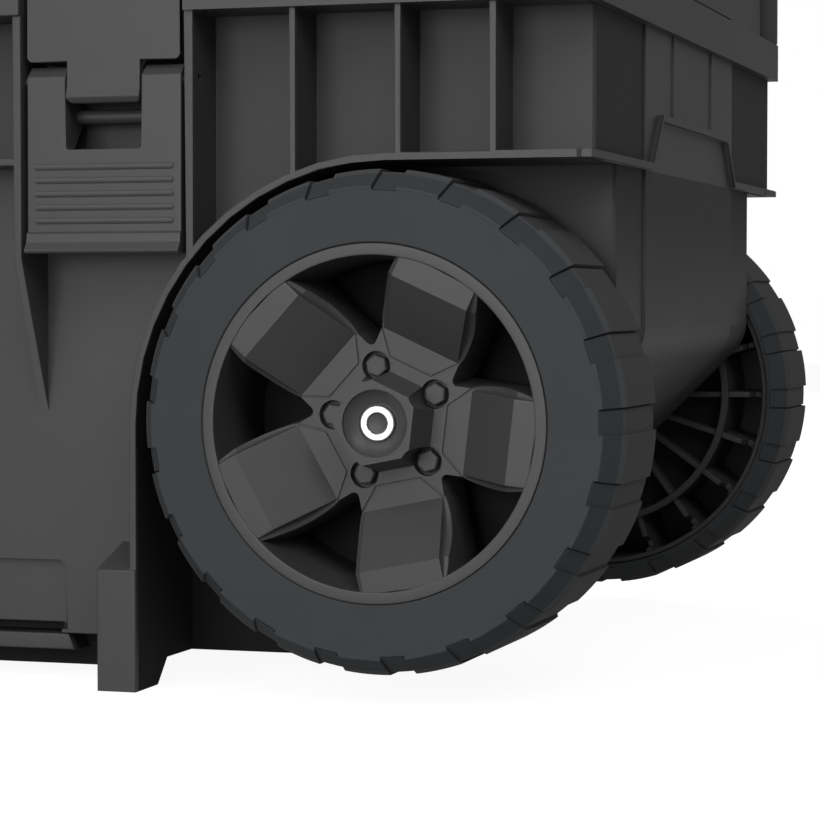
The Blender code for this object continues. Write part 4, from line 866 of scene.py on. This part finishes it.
def bracketPiece(label):
    # face of the lid's latch bracket with its tongue, which flares out at the foot
    front = -latch["knuckle"] - bracket["proud"]
    half, low, top, corner = bracket["half"], bracket["low"], bracket["top"], bracket["corner"]
    face = rounded([(-half, top, 0), (-half, low, corner), (half, low, corner), (half, top, 0)], 6)
    plate = prism("Y", face, front, front + bracket["thick"])
    foot, root, behind, wide = -bracket["foot"], bracket["root"], front + bracket["deep"], bracket["tongue"]
    section = rounded([(front, root, 0), (front, -bracket["flareFrom"], 2 * mm),
                       (front - bracket["flare"], foot + 3 * mm, 1.6 * mm), (front + 0.6 * mm, foot, 2 * mm),
                       (behind, foot, 1 * mm), (behind, root, 0)])
    trim = rounded([(-wide, 2 * low, 0), (-wide, foot, 4 * mm), (wide, foot, 2.5 * mm),
                    (wide, 2 * low, 0)], 7)
    tongue = carve(prism("X", section, -wide - 1 * mm, wide + 1 * mm),
                   [("INTERSECT", prism("Y", trim, -30 * mm, 30 * mm))])
    whole = soften(carve(plate, [("UNION", tongue)]), bracket["edge"], 2, 35)
    finishPiece("latchBracket." + label, whole, "charcoal_plastic", "lid",
                place=Matrix.Translation(pivotOf(label)))


def latchRib(front, reach):
    # half-round bar with rounded ends, its back sunk into the flap
    tall, sunk = latch["ribTall"] / 2, latch["ribSunk"]
    rows = []
    for i in range(9):
        depth = front + sunk - (latch["ribOut"] + sunk) * sin(pi * i / 8) ** 0.7
        level = tall * cos(pi * i / 8)
        rows.append((depth, level, reach - tall + 0.9 * sqrt(max(tall * tall - level * level, 0))))
    rib = bmesh.new()
    shares = (-1, -0.97, 0, 0.97, 1)
    lines = [[rib.verts.new((share * end, depth, level - latch["ribFirst"])) for share in shares]
             for depth, level, end in rows]
    for a, b in zip(lines, lines[1:]):
        for i in range(4):
            rib.faces.new((a[i], a[i + 1], b[i + 1], b[i]))
    rib.faces.new([line[0] for line in lines])
    rib.faces.new([line[-1] for line in lines][::-1])
    rib.faces.new(lines[0][::-1] + lines[-1])
    bmesh.ops.recalc_face_normals(rib, faces=rib.faces)
    return rib


def latchPiece(label):
    low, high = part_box("latch_" + label)
    pivot = pivotOf(label)
    half, k, gap = (high.x - low.x) / 2, latch["knuckle"], latch["window"]
    front, back, foot, out = -k, -k + latch["thick"], -latch["length"], latch["lipOut"]
    crease, tread = -latch["crease"], front - latch["step"]
    turns = [radians(-80 + 185 * i / 16) for i in range(17)]
    section = rounded([(front, crease, 0.5 * mm), (tread, crease - 1.2 * mm, 0.9 * mm),
                       (tread - 0.3 * mm, -latch["flareFrom"], 2 * mm),
                       (front - out, foot + 1.2 * mm, 0.7 * mm), (front - 0.8 * out, foot, 0.5 * mm),
                       (back, foot, 1.2 * mm), (back, -k - 1 * mm, 0)])
    section += [(k * cos(a), k * sin(a)) for a in turns] + [(front, latch["facet"])]
    sill, corner = -latch["windowLow"], latch["windowCorner"]
    window = rounded([(-gap, 2 * k, 0), (gap, 2 * k, 0), (gap, sill, corner), (-gap, sill, corner)], 4)
    flap = carve(prism("X", section, -half, half), [("DIFFERENCE", prism("Y", window, -3 * k, 3 * k))])
    shapes = [soften(flap, latch["edge"], 2, 28)]
    seat, end = back - 0.6 * mm, sill - 3 * mm
    cheek = rounded([(seat, -3 * mm, 0), (back + 15 * mm, -13 * mm, 3 * mm),
                     (back + 14 * mm, -21 * mm, 3 * mm), (back + 1.5 * mm, end, 1 * mm), (seat, end, 0)], 4)
    for side in (-1, 1):
        span = sorted(side * (gap + off) for off in latch["cheek"])
        shapes.append(soften(prism("X", cheek, *span), 0.5 * mm, 2, 30))
    r, turns = latch["bar"], [2 * pi * i / 24 for i in range(24)]
    bar = [(latch["barDeep"] + r * cos(a), -latch["barLow"] + r * sin(a)) for a in turns]
    shapes.append(prism("X", bar, -gap - 1 * mm, gap + 1 * mm))
    rib = latchRib(front, half - latch["ribEnd"])
    shapes.append(repeated(rib, "graphite_plastic", latch["ribs"], step=(0, 0, -latch["ribPitch"])))
    finishPiece("latchFlap." + label, joined(shapes), "graphite_plastic", "latch_" + label, "latch_" + label,
                place=Matrix.Translation(((low.x + high.x) / 2, pivot.y, pivot.z)))


for label in ("left", "right"):
    latchPiece(label)
    bracketPiece(label)
print("latches made")


# Stage, lights and the photograph's viewpoint


stage = {"size": 14.0, "floor": (0.30, 0.30, 0.30), "rough": 0.9, "glow": 0.93, "dome": 0.03, "sheen": 0.2}
lamps = {"front": {"place": (-0.1, -3.4, 0.4), "size": 1.8, "power": 38.0},
         "upRight": {"place": (1.6, -2.2, 2.2), "size": 1.8, "power": 26.0},
         "upLeft": {"place": (-1.2, -2.4, 2.0), "size": 1.8, "power": 15.0},
         "back": {"place": (-1.5, 2.9, 1.7), "size": 1.8, "power": 45.0}}
lampAim = Vector((0.25, -0.15, 0.18))


def rays(tree):
    path = tree.nodes.new("ShaderNodeLightPath")
    return (Wire(tree, path.outputs[f"Is {ray} Ray"]) for ray in ("Camera", "Transmission", "Glossy"))


def stageSet():
    bm = bmesh.new()
    bmesh.ops.create_grid(bm, x_segments=1, y_segments=1, size=stage["size"] / 2)
    floor = bpy.data.objects.new("floor", meshOf(bm, "floor"))
    scene.collection.objects.link(floor)
    material = bpy.data.materials.new("paleFloor")
    material.use_nodes = True
    tree = material.node_tree
    shader = tree.nodes["Principled BSDF"]
    shader.inputs["Base Color"].default_value = (*stage["floor"], 1)
    shader.inputs["Roughness"].default_value = stage["rough"]
    seen, through, shine = rays(tree)
    lit = (seen + through) * stage["glow"] + shine * stage["sheen"]
    glow = lit.node("ShaderNodeEmission", {}, {"Strength": lit})
    both = glow.node("ShaderNodeAddShader", {}, {0: Wire(tree, shader.outputs[0]), 1: glow})
    tree.links.new(both.socket, tree.nodes["Material Output"].inputs["Surface"])
    floor.data.materials.append(material)
    world = bpy.data.worlds.new("studio")
    world.use_nodes = True
    scene.world = world
    tree = world.node_tree
    seen, through, shine = rays(tree)
    level = (seen + through) * (1.0 - stage["dome"]) + shine * stage["sheen"] + stage["dome"]
    tree.links.new(level.socket, tree.nodes["Background"].inputs["Strength"])
    tree.nodes["Background"].inputs["Color"].default_value = (1, 1, 1, 1)
    for name, look in lamps.items():
        data = bpy.data.lights.new(name, "AREA")
        data.shape, data.size, data.energy = "SQUARE", look["size"], look["power"]
        lamp = bpy.data.objects.new(name, data)
        lamp.location = look["place"]
        lamp.rotation_euler = (lampAim - lamp.location).to_track_quat("-Z", "Y").to_euler()
        scene.collection.objects.link(lamp)


view = {"yaw": 17.349, "pitch": 2.232, "focal": 2711.5, "image": 820, "sensor": 36,
        "place": (0.68591, -1.42768, 0.1842)}


def viewpoint():
    data = bpy.data.cameras.new("photoView")
    data.sensor_width = view["sensor"]
    data.lens = view["sensor"] * view["focal"] / view["image"]
    camera = bpy.data.objects.new("photoView", data)
    camera.location = view["place"]
    yaw, pitch = radians(view["yaw"]), radians(view["pitch"])
    aim = Vector((-sin(yaw) * cos(pitch), cos(yaw) * cos(pitch), -sin(pitch)))
    camera.rotation_euler = aim.to_track_quat("-Z", "Y").to_euler()
    scene.collection.objects.link(camera)
    scene.camera = camera


stageSet()
viewpoint()
scene.view_settings.view_transform = "Standard"
print("stage set")
